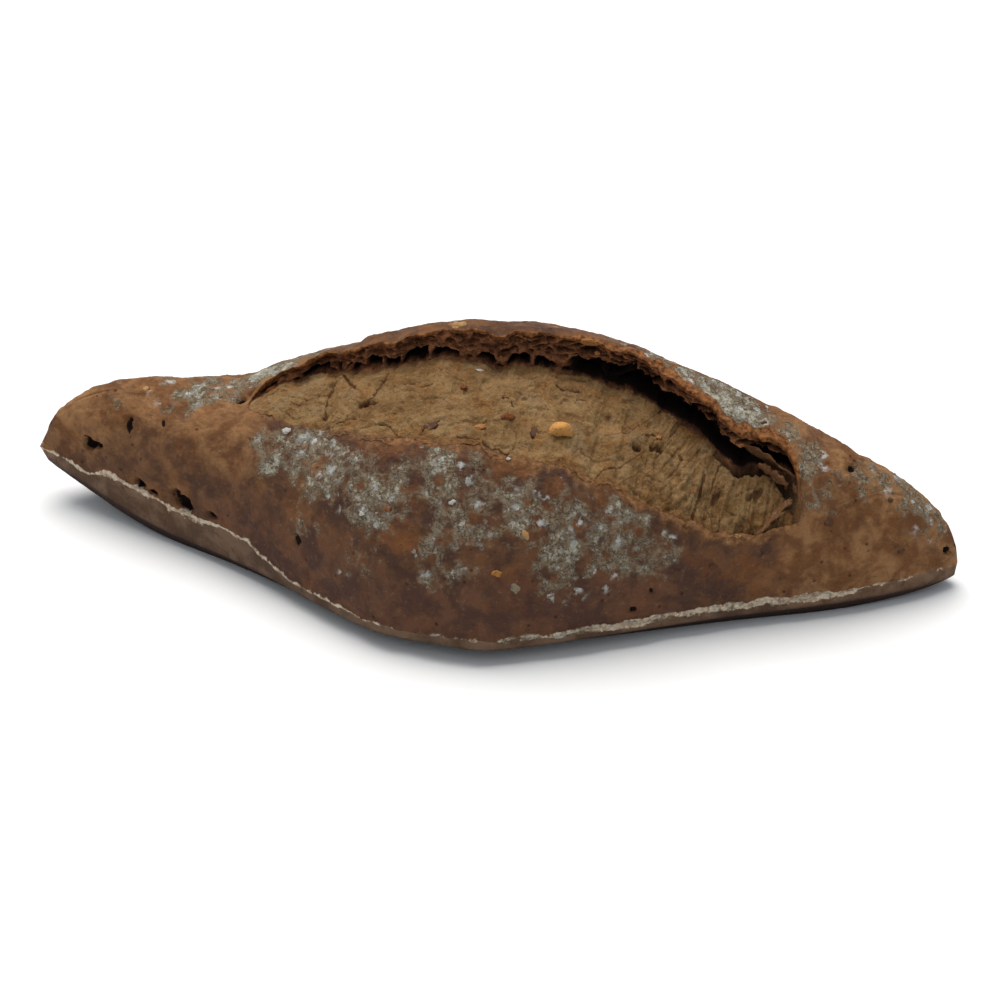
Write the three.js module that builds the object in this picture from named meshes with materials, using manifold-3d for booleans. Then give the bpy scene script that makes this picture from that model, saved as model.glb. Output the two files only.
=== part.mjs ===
// Multigrain roll: a diamond-shaped dark roll with one long slash, in millimetres, +Z up.
// The roll lies along X. A loop runs round each station of its length: from the front rim up the
// front flank, across the torn crumb, under the ear, over the back crust and home along the base.
// A station runs from -1 at the left tip to 1 at the right tip.
import * as THREE from 'three';
import { mergeVertices } from 'three/addons/utils/BufferGeometryUtils.js';
import Module from 'manifold-3d';

const wasm = await Module();
wasm.setup();

// Plan: half the length, and how far the front and back corners reach from the line of the tips
const HALF_LENGTH = 75;
const FRONT_REACH = 37;
const BACK_REACH = 39;
const FRONT_CORNER = 0.052;
const BACK_CORNER = -0.054;
const RIM_ROUNDING = 0.06;
const BELLY_ROUNDING = 0.3;
const BELLY_REACH = 0.95;
const BELLY_FADE = 8;
const TIP_WIDTH = 0.035;
const TIP_POWER = 36;
const FRONT_BULGE = { size: 4.3, at: -0.18, before: 0.25, after: 0.14 };
const RIGHT_BULGE = { size: 1.8, at: 0.8, before: 0.2, after: 0.24 };
const BACK_BULGE = { size: 2.4, at: 0.26, before: 0.2, after: 0.2 };

// Heights: the base lifts at the left tip, the rim runs above it, and the crown stands on the rim
const LEFT_LIFT = { size: 4.65, from: -0.59, to: -1, power: 1.67 };
const RIM_HEIGHT = 2.3;
const RIM_RISE = { size: 3, starts: [-0.9, -0.83], ends: [-0.46, -0.43] };
const RIDGE = 0.7;
const RIDGE_JAG = 0.35;
const SHOULDER_HEIGHT = 13.2;
const LEFT_BOW = 5;
const RIGHT_BOW = 5.4;
const OVEN_SPRING = { size: 22.35, at: 0.068, before: 0.654, after: 0.681 };
const SPRING_END = 8;
const LEFT_HOLLOW = { size: 1.2, at: -0.546, before: 0.06, after: 0.05 };
const LEFT_HUMP = { size: 3, at: -0.804, before: 0.157, after: 0.157 };
const FRONT_ARCH = { power: 2.2, root: 1 / 1.9 };
const BACK_ARCH = { power: 1.15, root: 1 / 1.6 };

// Base: it stands on its middle, rises to the heel, and from there a short wall climbs to the rim
const BASE_SPREAD = 2;
const BASE_WALL = 200;
const BASE_BELLY = { size: 2.2, from: 0.985, to: 0.72, end: 8, flat: 1.15 };

// Slash: its middle along X, half its length, the line of the blade, and how it parted
const SLASH_MIDDLE = 6;
const SLASH_HALF = 44.7;
const SLASH_LINE = -10.9;
const SLASH_TURN = -2.76;
const PARTING = { size: 1, power: 6, root: 0.5 };
const FRONT_OPENING = { size: 11.1, power: 2.37, root: 1.02 };
const EAR_OPENING = { size: 7.3, power: 4, root: 0.5 };
const SLASH_DIP = { size: 2.55, power: 2, root: 0.8 };
const EAR_DROP = { size: 7, at: 0.741, before: 1.94, after: 0.671 };
const EAR_LIFT = { size: 1.08, starts: [-0.65, -0.6], ends: [-0.25, -0.12] };
const EAR_NOTCH = { size: 2.2, at: -0.75, before: 0.035, after: 0.05 };
const EAR_BLEND = 0.35;
const FACE_SHARE = 0.45;
const FACE_LEAN = 0.25;
const SLIT_DEPTH = { size: 7, at: 0.2, before: 0.9, after: 0.9 };
const SLIT_RISE = 0.12;
const ROOF_BEND = 1.5;
const CRUMB_RISE = 1.1;

// Past its ends the slash closes to a seam, which widens and turns to the middle of the tip
const SEAM_NARROW = 0.03;
const SEAM_WIDE = 0.3;
const SEAM_TURN = 1.45;
const SEAM_SHARES = { crumb: [0, 0.7], floor: [0.7, 0.8], roof: [0.8, 0.9], face: [0.9, 1] };
const SEAM_PARTING = 0.5;

// Unevenness of the baked surface
const CRUST_SWELL = 0.17;
const SWELL_FROM = 3;
const SWELL_FULL = 12;
const CRUMB_ROUGHNESS = 0.45;
const CELL_DEPTH = 1.1;
const CELL_WIDTH = 5.5;
const LIP_WAVER = 0.6;
const AXIS_HEIGHT = 9;

// Grains that show: the span they sit in, station, share of the span, length, width, height, turn
const SEEN_GRAINS = [
  ['crumb', 0.178, 0.34, 4.0, 2.8, 2.6, 0.2],
  ['back', -0.082, 0.06, 3.0, 1.8, 1.4, 0.1],
  ['face', 0.2, 0.85, 3.2, 1.8, 1.6, 0.1],
  ['crumb', 0.062, 0.4, 2.2, 1.6, 1.4, 0.6],
  ['crumb', -0.094, 0.2, 3.0, 2.2, 1.4, 1.1],
  ['crumb', 0.12, 0.31, 2.6, 1.8, 1.4, 1.3],
  ['flank', 0.088, 0.44, 2.4, 1.7, 1.2, 0.3],
  ['flank', 0.128, 0.34, 2.0, 1.8, 1.2, 0],
];

// More grains of the same kind, spread over the crust at the back
const SPREAD = { span: 'back', count: 8, seed: 11, reach: 0.72, stray: 0.06, low: 0.3, high: 0.85 };
const SPREAD_GRAIN = { length: 2.8, width: 1.9, height: 1.4, least: 0.8, most: 1.15 };
const GOLDEN = 0.618;

// Burst bubbles and tears: the span, station, share of the span, length, width, depth, turn
const HOLES = [
  ['flank', -0.878, 0.28, 3.4, 2.6, 3.6, 0],
  ['flank', -0.786, 0.57, 1.2, 2.4, 2.0, 0],
  ['flank', -0.758, 0.085, 3.0, 1.5, 3.0, 0.1],
  ['flank', -0.715, 0.085, 3.2, 1.4, 3.0, 0.1],
  ['flank', -0.636, 0.085, 4.2, 1.6, 3.4, -0.3],
  ['flank', -0.586, 0.085, 3.0, 1.5, 3.0, 0.1],
  ['flank', 0.965, 0.6, 1.6, 1.3, 2.2, 0],
  ['crumb', 0.326, 0.47, 2.4, 1.2, 2.0, 0.2],
  ['crumb', 0.385, 0.47, 3.2, 1.3, 2.0, 0.4],
];

// Torn flakes that hang below the lip at the right end of the slash, in the same order
const FLAKES = [
  ['face', 0.575, 0.5, 8.0, 1.6, 2.6, -0.1],
  ['face', 0.62, 0.3, 5.0, 1.2, 2.2, 0.2],
];

// Mesh: stations along the length, and columns of each span of the loop
const STATIONS = 66;
const EVEN_STATIONS = 0.8;
const COLUMNS = { flank: 16, crumb: 16, floor: 3, roof: 3, face: 4, back: 18, base: 12 };
const AROUND = Object.values(COLUMNS).reduce((sum, count) => sum + count, 0);
const NEAR_TIP = 0.9999;
const SMALL_STEP = 0.004;
const SMALL_TURN = 0.2;
const WELD = 0.02;

const CRUST_COLOUR = 0x6b4d36;
const CRUST_ROUGHNESS = 0.85;

const clamp = (x) => Math.min(Math.max(x, 0), 1);
const mix = (from, to, share) => from + (to - from) * share;
function smooth(from, to, x) {
  const t = clamp((x - from) / (to - from));
  return t * t * (3 - 2 * t);
}
function bell({ size, at, before, after }, x) {
  const off = (x - at) / (x < at ? before : after);
  return size * Math.exp(-off * off);
}
const lens = ({ size, power, root }, x) => size * clamp(1 - Math.abs(x) ** power) ** root;
const arch = ({ power, root }, share) => clamp(1 - Math.abs(share) ** power) ** root;
const climb = ({ size, from, to, power }, x) => size * smooth(from, to, x) ** power;

// A rise that starts over one stretch of stations and ends over another
const plateau = ({ size, starts, ends }, x) => size * (smooth(...starts, x) - smooth(...ends, x));

// Width left at a station of a diamond with rounded corners, one of them moved along the roll
function taper(a, rounding, corner = 0) {
  const full = Math.hypot(1 + TIP_WIDTH, rounding) - rounding;
  const moved = a - corner * (1 - a * a);
  return 1 - (Math.hypot(moved, rounding) - rounding) / full;
}

const blunt = (a) => Math.sqrt(clamp(1 - Math.abs(a) ** TIP_POWER));

function frontReach(a, rounding = RIM_ROUNDING) {
  const side = FRONT_REACH * taper(a, rounding, FRONT_CORNER);
  return blunt(a) * (side + bell(FRONT_BULGE, a) + bell(RIGHT_BULGE, a));
}

function backReach(a, rounding = RIM_ROUNDING) {
  const side = BACK_REACH * taper(a, rounding, BACK_CORNER);
  return blunt(a) * (side + bell(BACK_BULGE, a));
}

const baseHeight = (a) => climb(LEFT_LIFT, a);

// Height over the base at a share of the way from the rim up to the crown
const overBase = (a, crown, share) => baseHeight(a) + RIM_HEIGHT + mix(plateau(RIM_RISE, a), crown, share);
const rimHeight = (a) => overBase(a, 0, 0);

// Height of the crown above the rim, along the length
function crownHeight(a) {
  const bow = Math.sqrt(clamp(1 - Math.abs(a) ** (a < 0 ? LEFT_BOW : RIGHT_BOW)));
  const spring = bell(OVEN_SPRING, a) * Math.sqrt(clamp(1 - a ** SPRING_END));
  return SHOULDER_HEIGHT * bow + spring - bell(LEFT_HOLLOW, a) + bell(LEFT_HUMP, a);
}

// Share of the reach at a distance from the middle: the belly is rounder in plan than the rim
function shareOfReach(a, y, reach) {
  const rim = reach(a);
  const belly = reach(a, BELLY_ROUNDING) * BELLY_REACH;
  return Math.abs(y) / mix(belly, rim, clamp(Math.abs(y) / rim) ** BELLY_FADE);
}

const alongSlash = (a) => (a * HALF_LENGTH - SLASH_MIDDLE) / SLASH_HALF;

function frontHeight(a, y) {
  const crown = crownHeight(a) - lens(SLASH_DIP, alongSlash(a));
  return overBase(a, crown, arch(FRONT_ARCH, shareOfReach(a, y, frontReach)));
}

// The back half leans: its arch is full only on the front side of the middle
function backHeight(a, y) {
  const share = y < 0
    ? arch(FRONT_ARCH, shareOfReach(a, y, frontReach))
    : arch(BACK_ARCH, shareOfReach(a, y, backReach));
  return overBase(a, crownHeight(a), share);
}

// The slash at one station: its front edge, the lip of the ear, and what lies below the lip
function slashAt(a) {
  const e = alongSlash(a);
  const inside = Math.min(Math.max(e, -1), 1);
  const end = (SLASH_MIDDLE + inside * SLASH_HALF) / HALF_LENGTH;
  const past = smooth(1, SEAM_TURN, Math.abs(e));
  const reach = frontReach(a);
  const line = (SLASH_LINE + SLASH_TURN * inside) * (1 - past) * reach / frontReach(end);
  const seam = reach * mix(SEAM_NARROW, SEAM_WIDE, past);
  const open = lens(PARTING, inside);
  const waver = LIP_WAVER * open * (Math.sin(9 * e + 1) + 0.6 * Math.sin(23 * e));
  const edgeY = line - lens(FRONT_OPENING, inside) - seam;
  const lipY = line + lens(EAR_OPENING, inside) + seam + open * bell(EAR_NOTCH, e) + waver;
  const lift = open * plateau(EAR_LIFT, e);
  const lipZ = backHeight(a, lipY) + lift;
  const drop = bell(EAR_DROP, e) * open;
  const slit = bell(SLIT_DEPTH, e) * open;
  return {
    open,
    lift,
    edge: [edgeY, frontHeight(a, edgeY)],
    lip: [lipY, lipZ],
    brow: [lipY + FACE_LEAN * FACE_SHARE * drop, lipZ - FACE_SHARE * drop],
    under: [lipY, lipZ - drop],
    deep: [lipY + slit, lipZ - drop + SLIT_RISE * slit],
  };
}

// Past the ends of the slash a span closes to its share of a seam that lies on the crust
function closing(a, slash, span, s, torn) {
  const share = mix(...SEAM_SHARES[span], s);
  const y = mix(slash.edge[0], slash.lip[0], share);
  const z = mix(frontHeight(a, y), backHeight(a, y), share);
  const parting = smooth(0, SEAM_PARTING, slash.open);
  return [mix(y, torn[0], parting), mix(z, torn[1], parting)];
}

function between(from, to, share, bend = 1) {
  return [mix(from[0], to[0], share), mix(from[1], to[1], share ** bend)];
}

// Torn cells in the face below the lip
function cells(x, share) {
  const wave = 0.5 + 0.5 * Math.sin(2 * Math.PI * x / CELL_WIDTH + 3 * share);
  return CELL_DEPTH * Math.sin(Math.PI * share) * wave;
}

// Blisters and pulled strands on the crumb
function strands(x, share) {
  const slanted = Math.sin(0.9 * x - 6 * share) * Math.sin(0.33 * x + 4 * share);
  return CRUMB_ROUGHNESS * (slanted + 0.7 * Math.sin(13 * share + 0.21 * x));
}

// The spans of the loop: y and z at station a and share s of the span
const SPANS = {
  flank: (a, s, slash) => {
    const y = mix(-frontReach(a), slash.edge[0], 1 - Math.cos(s * Math.PI / 2));
    return [y, frontHeight(a, y)];
  },
  crumb: (a, s, slash) => {
    const torn = between(slash.edge, slash.under, s);
    torn[1] += (CRUMB_RISE + strands(a * HALF_LENGTH, s)) * Math.sin(Math.PI * s) * slash.open;
    return closing(a, slash, 'crumb', s, torn);
  },
  floor: (a, s, slash) => closing(a, slash, 'floor', s, between(slash.under, slash.deep, s)),
  roof: (a, s, slash) => closing(a, slash, 'roof', s, between(slash.deep, slash.brow, s, ROOF_BEND)),
  face: (a, s, slash) => {
    const torn = between(slash.brow, slash.lip, s);
    torn[0] += cells(a * HALF_LENGTH, s) * slash.open;
    return closing(a, slash, 'face', s, torn);
  },
  back: (a, s, slash) => {
    const y = mix(slash.lip[0], backReach(a), 0.5 * (Math.sin(s * Math.PI / 2) + s));
    return [y, backHeight(a, y) + slash.lift * smooth(EAR_BLEND, 0, s)];
  },
  base: (a, s) => {
    const turn = Math.cos(Math.PI * s);
    const across = 1 - (1 - Math.abs(turn)) ** BASE_SPREAD;
    const y = across * (turn > 0 ? backReach(a) : -frontReach(a));
    const { size, from, to, end, flat } = BASE_BELLY;
    const belly = size * clamp(flat * smooth(from, to, across) * (1 - a ** end));
    return [y, mix(baseHeight(a), rimHeight(a), across ** BASE_WALL) - belly];
  },
};

// Slow swelling of the crust, none at the base
function swell(x, y, z) {
  const waves = Math.sin(0.13 * x + 0.21 * y + 1)
    + Math.sin(0.24 * x - 0.17 * z)
    + Math.sin(0.19 * y + 0.15 * z + 2);
  return CRUST_SWELL * waves * smooth(SWELL_FROM, SWELL_FULL, z);
}

// The span that holds a column of the loop, and the column counted from the span's start
function spanAt(j) {
  let column = j % AROUND;
  for (const [span, count] of Object.entries(COLUMNS)) {
    if (column < count) return [span, column];
    column -= count;
  }
  return null;
}

// A point of the surface: station a, and column j of the loop counted from the front rim
function surface(a, j) {
  const x = a * HALF_LENGTH;
  if (Math.abs(a) > NEAR_TIP) return new THREE.Vector3(x, 0, rimHeight(a));
  const [span, column] = spanAt(j);
  let [y, z] = SPANS[span](a, column / COLUMNS[span], slashAt(a));
  const isRim = column === 0 && (span === 'flank' || span === 'base');
  if (isRim) {
    y += Math.sign(y) * RIDGE * Math.cbrt(taper(a, RIM_ROUNDING) * blunt(a));
    z += RIDGE_JAG * Math.sin(1.9 * x) * Math.sin(0.7 * x + 1);
  }
  const out = swell(x, y, z) / Math.hypot(y, z - AXIS_HEIGHT);
  return new THREE.Vector3(x, y + out * y, z + out * (z - AXIS_HEIGHT));
}

// Stations stand closer together towards the tips
function station(i) {
  const turn = Math.PI * i / STATIONS;
  return mix(-Math.cos(turn), 2 * i / STATIONS - 1, EVEN_STATIONS);
}

function solidFrom(geometry) {
  geometry.deleteAttribute('normal');
  geometry.deleteAttribute('uv');
  const merged = mergeVertices(geometry);
  return new wasm.Manifold(new wasm.Mesh({
    numProp: 3,
    vertProperties: new Float32Array(merged.attributes.position.array),
    triVerts: new Uint32Array(merged.index.array),
  }));
}

// Joins and cuts leave some vertices very close: those become one, and what they close is dropped
function geometryFrom(solid) {
  const mesh = solid.getMesh();
  const geometry = new THREE.BufferGeometry();
  geometry.setAttribute('position', new THREE.BufferAttribute(mesh.vertProperties, 3));
  geometry.setIndex(new THREE.BufferAttribute(mesh.triVerts, 1));
  const welded = mergeVertices(geometry, WELD);
  const kept = [];
  for (let i = 0; i < welded.index.count; i += 3) {
    const corners = [0, 1, 2].map((k) => welded.index.getX(i + k));
    if (new Set(corners).size === 3) kept.push(...corners);
  }
  return welded.setIndex(kept);
}

// The loaf: a sphere whose poles are the two tips, drawn out to the surface of the roll
function loaf() {
  const geometry = new THREE.SphereGeometry(1, AROUND, STATIONS);
  const position = geometry.attributes.position;
  for (let i = 0; i <= STATIONS; i += 1) {
    for (let j = 0; j <= AROUND; j += 1) {
      const point = surface(station(i), j);
      position.setXYZ(i * (AROUND + 1) + j, point.x, point.y, point.z);
    }
  }
  return solidFrom(geometry);
}

// First column of a span in the loop
function firstColumn(name) {
  const names = Object.keys(COLUMNS);
  return names.slice(0, names.indexOf(name)).reduce((sum, span) => sum + COLUMNS[span], 0);
}

// A small lump that sits astride the surface, its length along the roll and its height outwards
function lump([span, a, share, length, width, height, turn]) {
  const j = firstColumn(span) + share * COLUMNS[span];
  const along = surface(a + SMALL_STEP, j).sub(surface(a - SMALL_STEP, j));
  const around = surface(a, j + SMALL_TURN).sub(surface(a, j - SMALL_TURN));
  const out = along.clone().cross(around).normalize();
  along.normalize().applyAxisAngle(out, turn);
  const place = new THREE.Matrix4().makeBasis(along, out.clone().cross(along), out);
  place.scale(new THREE.Vector3(length / 2, width / 2, height / 2));
  place.setPosition(surface(a, j));
  return solidFrom(new THREE.IcosahedronGeometry(1).applyMatrix4(place));
}

// Repeatable numbers from 0 to 1
function seeded(seed) {
  const factor = 16807;
  const prime = 2147483647;
  let state = seed;
  return () => {
    state = (state * factor) % prime;
    return state / prime;
  };
}

// Even steps along and across the span, each with a small seeded stray
function spreadGrains() {
  const draw = seeded(SPREAD.seed);
  const { length, width, height, least, most } = SPREAD_GRAIN;
  return Array.from({ length: SPREAD.count }, (_, k) => {
    const even = SPREAD.reach * ((2 * k + 1) / SPREAD.count - 1);
    const a = even + SPREAD.stray * (draw() - 0.5);
    const share = mix(SPREAD.low, SPREAD.high, (k * GOLDEN + 0.2) % 1);
    const size = mix(least, most, draw());
    return [SPREAD.span, a, share, size * length, size * width, size * height, Math.PI * draw()];
  });
}

// The whole roll, set down with the middle of its box at the origin
function bakedRoll() {
  let solid = loaf();
  for (const grain of [...SEEN_GRAINS, ...spreadGrains(), ...FLAKES]) {
    solid = solid.add(lump(grain));
  }
  for (const hole of HOLES) {
    solid = solid.subtract(lump(hole));
  }
  const geometry = geometryFrom(solid);
  geometry.computeBoundingBox();
  const { min, max } = geometry.boundingBox;
  return geometry.translate(-(min.x + max.x) / 2, -(min.y + max.y) / 2, -min.z);
}

const crust = new THREE.MeshStandardMaterial({
  color: CRUST_COLOUR,
  roughness: CRUST_ROUGHNESS,
  metalness: 0,
});
const body = new THREE.Mesh(bakedRoll(), crust);
body.name = 'roll';
const roll = new THREE.Group();
roll.add(body);

export default roll;
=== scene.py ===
"""Looks of the multigrain roll: dark floury crust, a torn crumb under a raised ear, and a few grains.

Sizes are in millimetres, as in the solid, and become metres when a mesh is written. A station a runs
from -1 at the left tip to 1 at the right tip, and e runs from -1 to 1 between the ends of the slash.
"""
import math

import bmesh
import bpy
import numpy as np
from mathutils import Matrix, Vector, noise


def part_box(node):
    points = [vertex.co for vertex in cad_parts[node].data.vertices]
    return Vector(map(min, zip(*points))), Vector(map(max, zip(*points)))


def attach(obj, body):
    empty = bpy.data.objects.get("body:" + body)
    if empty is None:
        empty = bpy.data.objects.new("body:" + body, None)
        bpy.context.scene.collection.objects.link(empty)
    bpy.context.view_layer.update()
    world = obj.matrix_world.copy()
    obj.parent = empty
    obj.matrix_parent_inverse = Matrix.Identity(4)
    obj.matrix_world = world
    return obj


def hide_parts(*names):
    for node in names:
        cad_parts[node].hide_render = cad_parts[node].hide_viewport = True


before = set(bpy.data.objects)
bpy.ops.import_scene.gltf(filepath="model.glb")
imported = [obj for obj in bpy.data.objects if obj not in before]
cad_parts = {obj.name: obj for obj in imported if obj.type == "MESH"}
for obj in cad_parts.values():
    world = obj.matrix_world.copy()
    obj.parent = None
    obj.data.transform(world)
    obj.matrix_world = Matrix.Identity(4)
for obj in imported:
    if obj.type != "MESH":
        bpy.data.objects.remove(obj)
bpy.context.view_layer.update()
ROLL_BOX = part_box("roll")
MM = 0.001

# Plan of the roll
HALF_LENGTH = (ROLL_BOX[1].x - ROLL_BOX[0].x) / 2 / MM
FRONT_REACH = 37
BACK_REACH = 39
FRONT_CORNER = 0.052
BACK_CORNER = -0.054
RIM_ROUNDING = 0.06
BELLY_ROUNDING = 0.3
BELLY_REACH = 0.95
BELLY_FADE = 8
TIP_WIDTH = 0.035
TIP_POWER = 36
FRONT_BULGE = dict(size=4.3, at=-0.18, before=0.25, after=0.14)
RIGHT_BULGE = dict(size=1.8, at=0.8, before=0.2, after=0.24)
BACK_BULGE = dict(size=2.4, at=0.26, before=0.2, after=0.2)

# Heights of base, rim and crown
LEFT_LIFT = dict(size=4.65, start=-0.59, end=-1, power=1.67)
RIM_HEIGHT = 2.3
RIM_RISE = dict(size=3, starts=(-0.9, -0.83), ends=(-0.5, -0.37))
SHOULDER_HEIGHT = 13.2
LEFT_BOW = 5
RIGHT_BOW = 5.4
OVEN_SPRING = dict(size=22.35, at=0.068, before=0.654, after=0.681)
SPRING_END = 8
LEFT_HOLLOW = dict(size=1.2, at=-0.546, before=0.06, after=0.05)
LEFT_HUMP = dict(size=3, at=-0.804, before=0.157, after=0.157)
FRONT_ARCH = dict(power=2.2, root=1 / 1.9)
BACK_ARCH = dict(power=1.15, root=1 / 1.6)
BASE_SPREAD = 2
BASE_WALL = 200
BASE_BELLY = dict(size=2.2, start=0.99, end=0.84, tips=8, flat=1.15)

# Slash and ear
SLASH_MIDDLE = 6
SLASH_HALF = 44.7
SLASH_LINE = -10.9
SLASH_TURN = -2.76
PARTING = dict(power=6, root=0.5)
FRONT_OPENING = dict(power=2.37, root=1.02, size=11.1)
EAR_OPENING = dict(power=4, root=0.5, size=7.3)
SLASH_DIP = dict(power=2, root=0.8, size=2.55)
EAR_DROP = dict(size=7, at=0.741, before=1.94, after=0.671)
EAR_LIFT = dict(size=1.08, starts=(-0.65, -0.6), ends=(-0.25, -0.12))
EAR_NOTCH = dict(size=2.2, at=-0.75, before=0.035, after=0.05)
EAR_BLEND = 0.35
SEAM_NARROW = 0.03
SEAM_WIDE = 0.3
SEAM_TURN = 1.45
SEAM_PARTING = 0.5
CRUMB_RISE = 1.1
CRUST_THICKNESS = 1.3
CAVITY_DEPTH = 8
# Inside the slash: turn of the cut edge, depth of the brow, and room behind the cells
EDGE_TURN = 0.6
BROW_DEPTH = 1.6
LOAF_ROOM = 2.5
TEAR_ROOM = 1.5
# Floor of the slash: its depth, where it starts behind the edge, and how high the tear lies on it
FLOOR_DEPTH = 3
LOAF_FLOOR_START = 3
TEAR_FLOOR_START = 4
TEAR_FLOOR = 0.8
# How far the crumb's edge lies over the crust, and how deep the crevice at its right end is
CRUMB_LIFT = 0.02
CREVICE_DEPTH = 3
# Shares of the closed seam that the cut edge and the inside take past the ends of the slash
EDGE_SHARE = 0.3
INSIDE_SHARE = 0.8
# Torn lines of the slash: size of each line's bends, their length, and a seed
EDGE_BENDS = dict(size=0.9, length=9, seed=1)
CRUMB_SPILL = dict(size=1.1, length=2.5, seed=6)
LIP_BENDS = dict(size=0.8, length=4, seed=2)
LIP_FRAY = dict(size=0.8, length=4, seed=3)
LIP_THICKNESS = dict(size=0.9, length=3, seed=4)
# Thickness of the lip at the left and at the right of the slash, and its limits
LIP_LEFT = 0.7
LIP_RIGHT = 1.1
LIP_LIMITS = (0.35, 2.4)
# How the lip wanders: share of the slash, and how far back the lip lies there
LIP_WANDER = [
    (-0.8, 0),
    (-0.62, -0.5),
    (-0.5, -2.1),
    (-0.25, -2.1),
    (-0.1, -0.6),
    (0.1, 1.3),
    (0.4, 2.3),
    (0.5, 1),
    (0.62, -1),
    (0.75, -2.4),
    (0.83, -0.6),
    (0.93, 3.6),
    (1, 3),
]
# Share of the back crust over which the frayed lip settles
FRAY_WIDTH = 0.1
# How far the thin edge of the base sticks out at the left tip
FLANGE = 1.3
# Points along which a torn line is worked out
TORN_POINTS = 1600

# Meshes: columns of each span of the loop, and stations along the length
LOAF_COLUMNS = dict(flank=110, edge=4, inside=12, brow=10, back=112, base=32)
LOAF_STATIONS = 340
TEAR_COLUMNS = dict(crumb=96, wall=108, inside=16)
TEAR_STATIONS = 440
# How even the stations are, from 0 for crowded ends to 1, and how near a station comes to a tip
EVEN_STATIONS = 0.8
NEAR_TIP = 0.99995


def mix(start, end, share):
    return start + (end - start) * share


def smooth(start, end, x):
    t = np.clip((x - start) / (end - start), 0, 1)
    return t * t * (3 - 2 * t)


def bell(x, size, at, before, after):
    off = (x - at) / np.where(x < at, before, after)
    return size * np.exp(-off * off)


def lens(x, power, root, size=1):
    return size * np.clip(1 - np.abs(x) ** power, 0, 1) ** root


def climb(x, size, start, end, power):
    return size * smooth(start, end, x) ** power


def plateau(x, size, starts, ends):
    """A rise that starts over one stretch and ends over another."""
    return size * (smooth(*starts, x) - smooth(*ends, x))


def taper(a, rounding, corner=0):
    """Width left at a station of a diamond with rounded corners, one of them moved along the roll."""
    full = math.hypot(1 + TIP_WIDTH, rounding) - rounding
    moved = a - corner * (1 - a * a)
    return 1 - (np.hypot(moved, rounding) - rounding) / full


def blunt(a):
    return np.sqrt(np.clip(1 - np.abs(a) ** TIP_POWER, 0, 1))


def front_reach(a, rounding=RIM_ROUNDING):
    side = FRONT_REACH * taper(a, rounding, FRONT_CORNER)
    return blunt(a) * (side + bell(a, **FRONT_BULGE) + bell(a, **RIGHT_BULGE))


def back_reach(a, rounding=RIM_ROUNDING):
    side = BACK_REACH * taper(a, rounding, BACK_CORNER)
    return blunt(a) * (side + bell(a, **BACK_BULGE))


def base_height(a):
    return climb(a, **LEFT_LIFT)


def over_base(a, crown, share):
    """Height over the base at a share of the way from the rim up to the crown."""
    return base_height(a) + RIM_HEIGHT + mix(plateau(a, **RIM_RISE), crown, share)


def rim_height(a):
    return over_base(a, 0, 0)


def crown_height(a):
    """Height of the crown above the rim, along the length."""
    bow = np.sqrt(np.clip(1 - np.abs(a) ** np.where(a < 0, LEFT_BOW, RIGHT_BOW), 0, 1))
    spring = bell(a, **OVEN_SPRING) * np.sqrt(np.clip(1 - a**SPRING_END, 0, 1))
    return SHOULDER_HEIGHT * bow + spring - bell(a, **LEFT_HOLLOW) + bell(a, **LEFT_HUMP)


def share_of_reach(a, y, reach):
    """The belly is rounder in plan than the rim below it."""
    rim = reach(a)
    belly = reach(a, BELLY_ROUNDING) * BELLY_REACH
    return np.abs(y) / mix(belly, rim, np.clip(np.abs(y) / rim, 0, 1) ** BELLY_FADE)


def base_belly(a, across):
    """How far the base hangs below its heel, on which the roll stands."""
    inner = smooth(BASE_BELLY["start"], BASE_BELLY["end"], across) * (1 - a ** BASE_BELLY["tips"])
    return BASE_BELLY["size"] * np.clip(BASE_BELLY["flat"] * inner, 0, 1)


def along_slash(a):
    return (a * HALF_LENGTH - SLASH_MIDDLE) / SLASH_HALF


def front_height(a, y):
    crown = crown_height(a) - lens(along_slash(a), **SLASH_DIP)
    return over_base(a, crown, lens(share_of_reach(a, y, front_reach), **FRONT_ARCH))


def back_height(a, y):
    front = lens(share_of_reach(a, y, front_reach), **FRONT_ARCH)
    back = lens(share_of_reach(a, y, back_reach), **BACK_ARCH)
    return over_base(a, crown_height(a), np.where(y < 0, front, back))


def torn(e, size, length, seed):
    """A torn line along the slash, with bends about as long as length."""
    points = np.linspace(-1, 1, TORN_POINTS)
    bends = [noise.fractal((t * SLASH_HALF / length, seed * 7.7, 0.4), 0.7, 2.0, 5) for t in points]
    return size * np.interp(e, points, bends)


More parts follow.
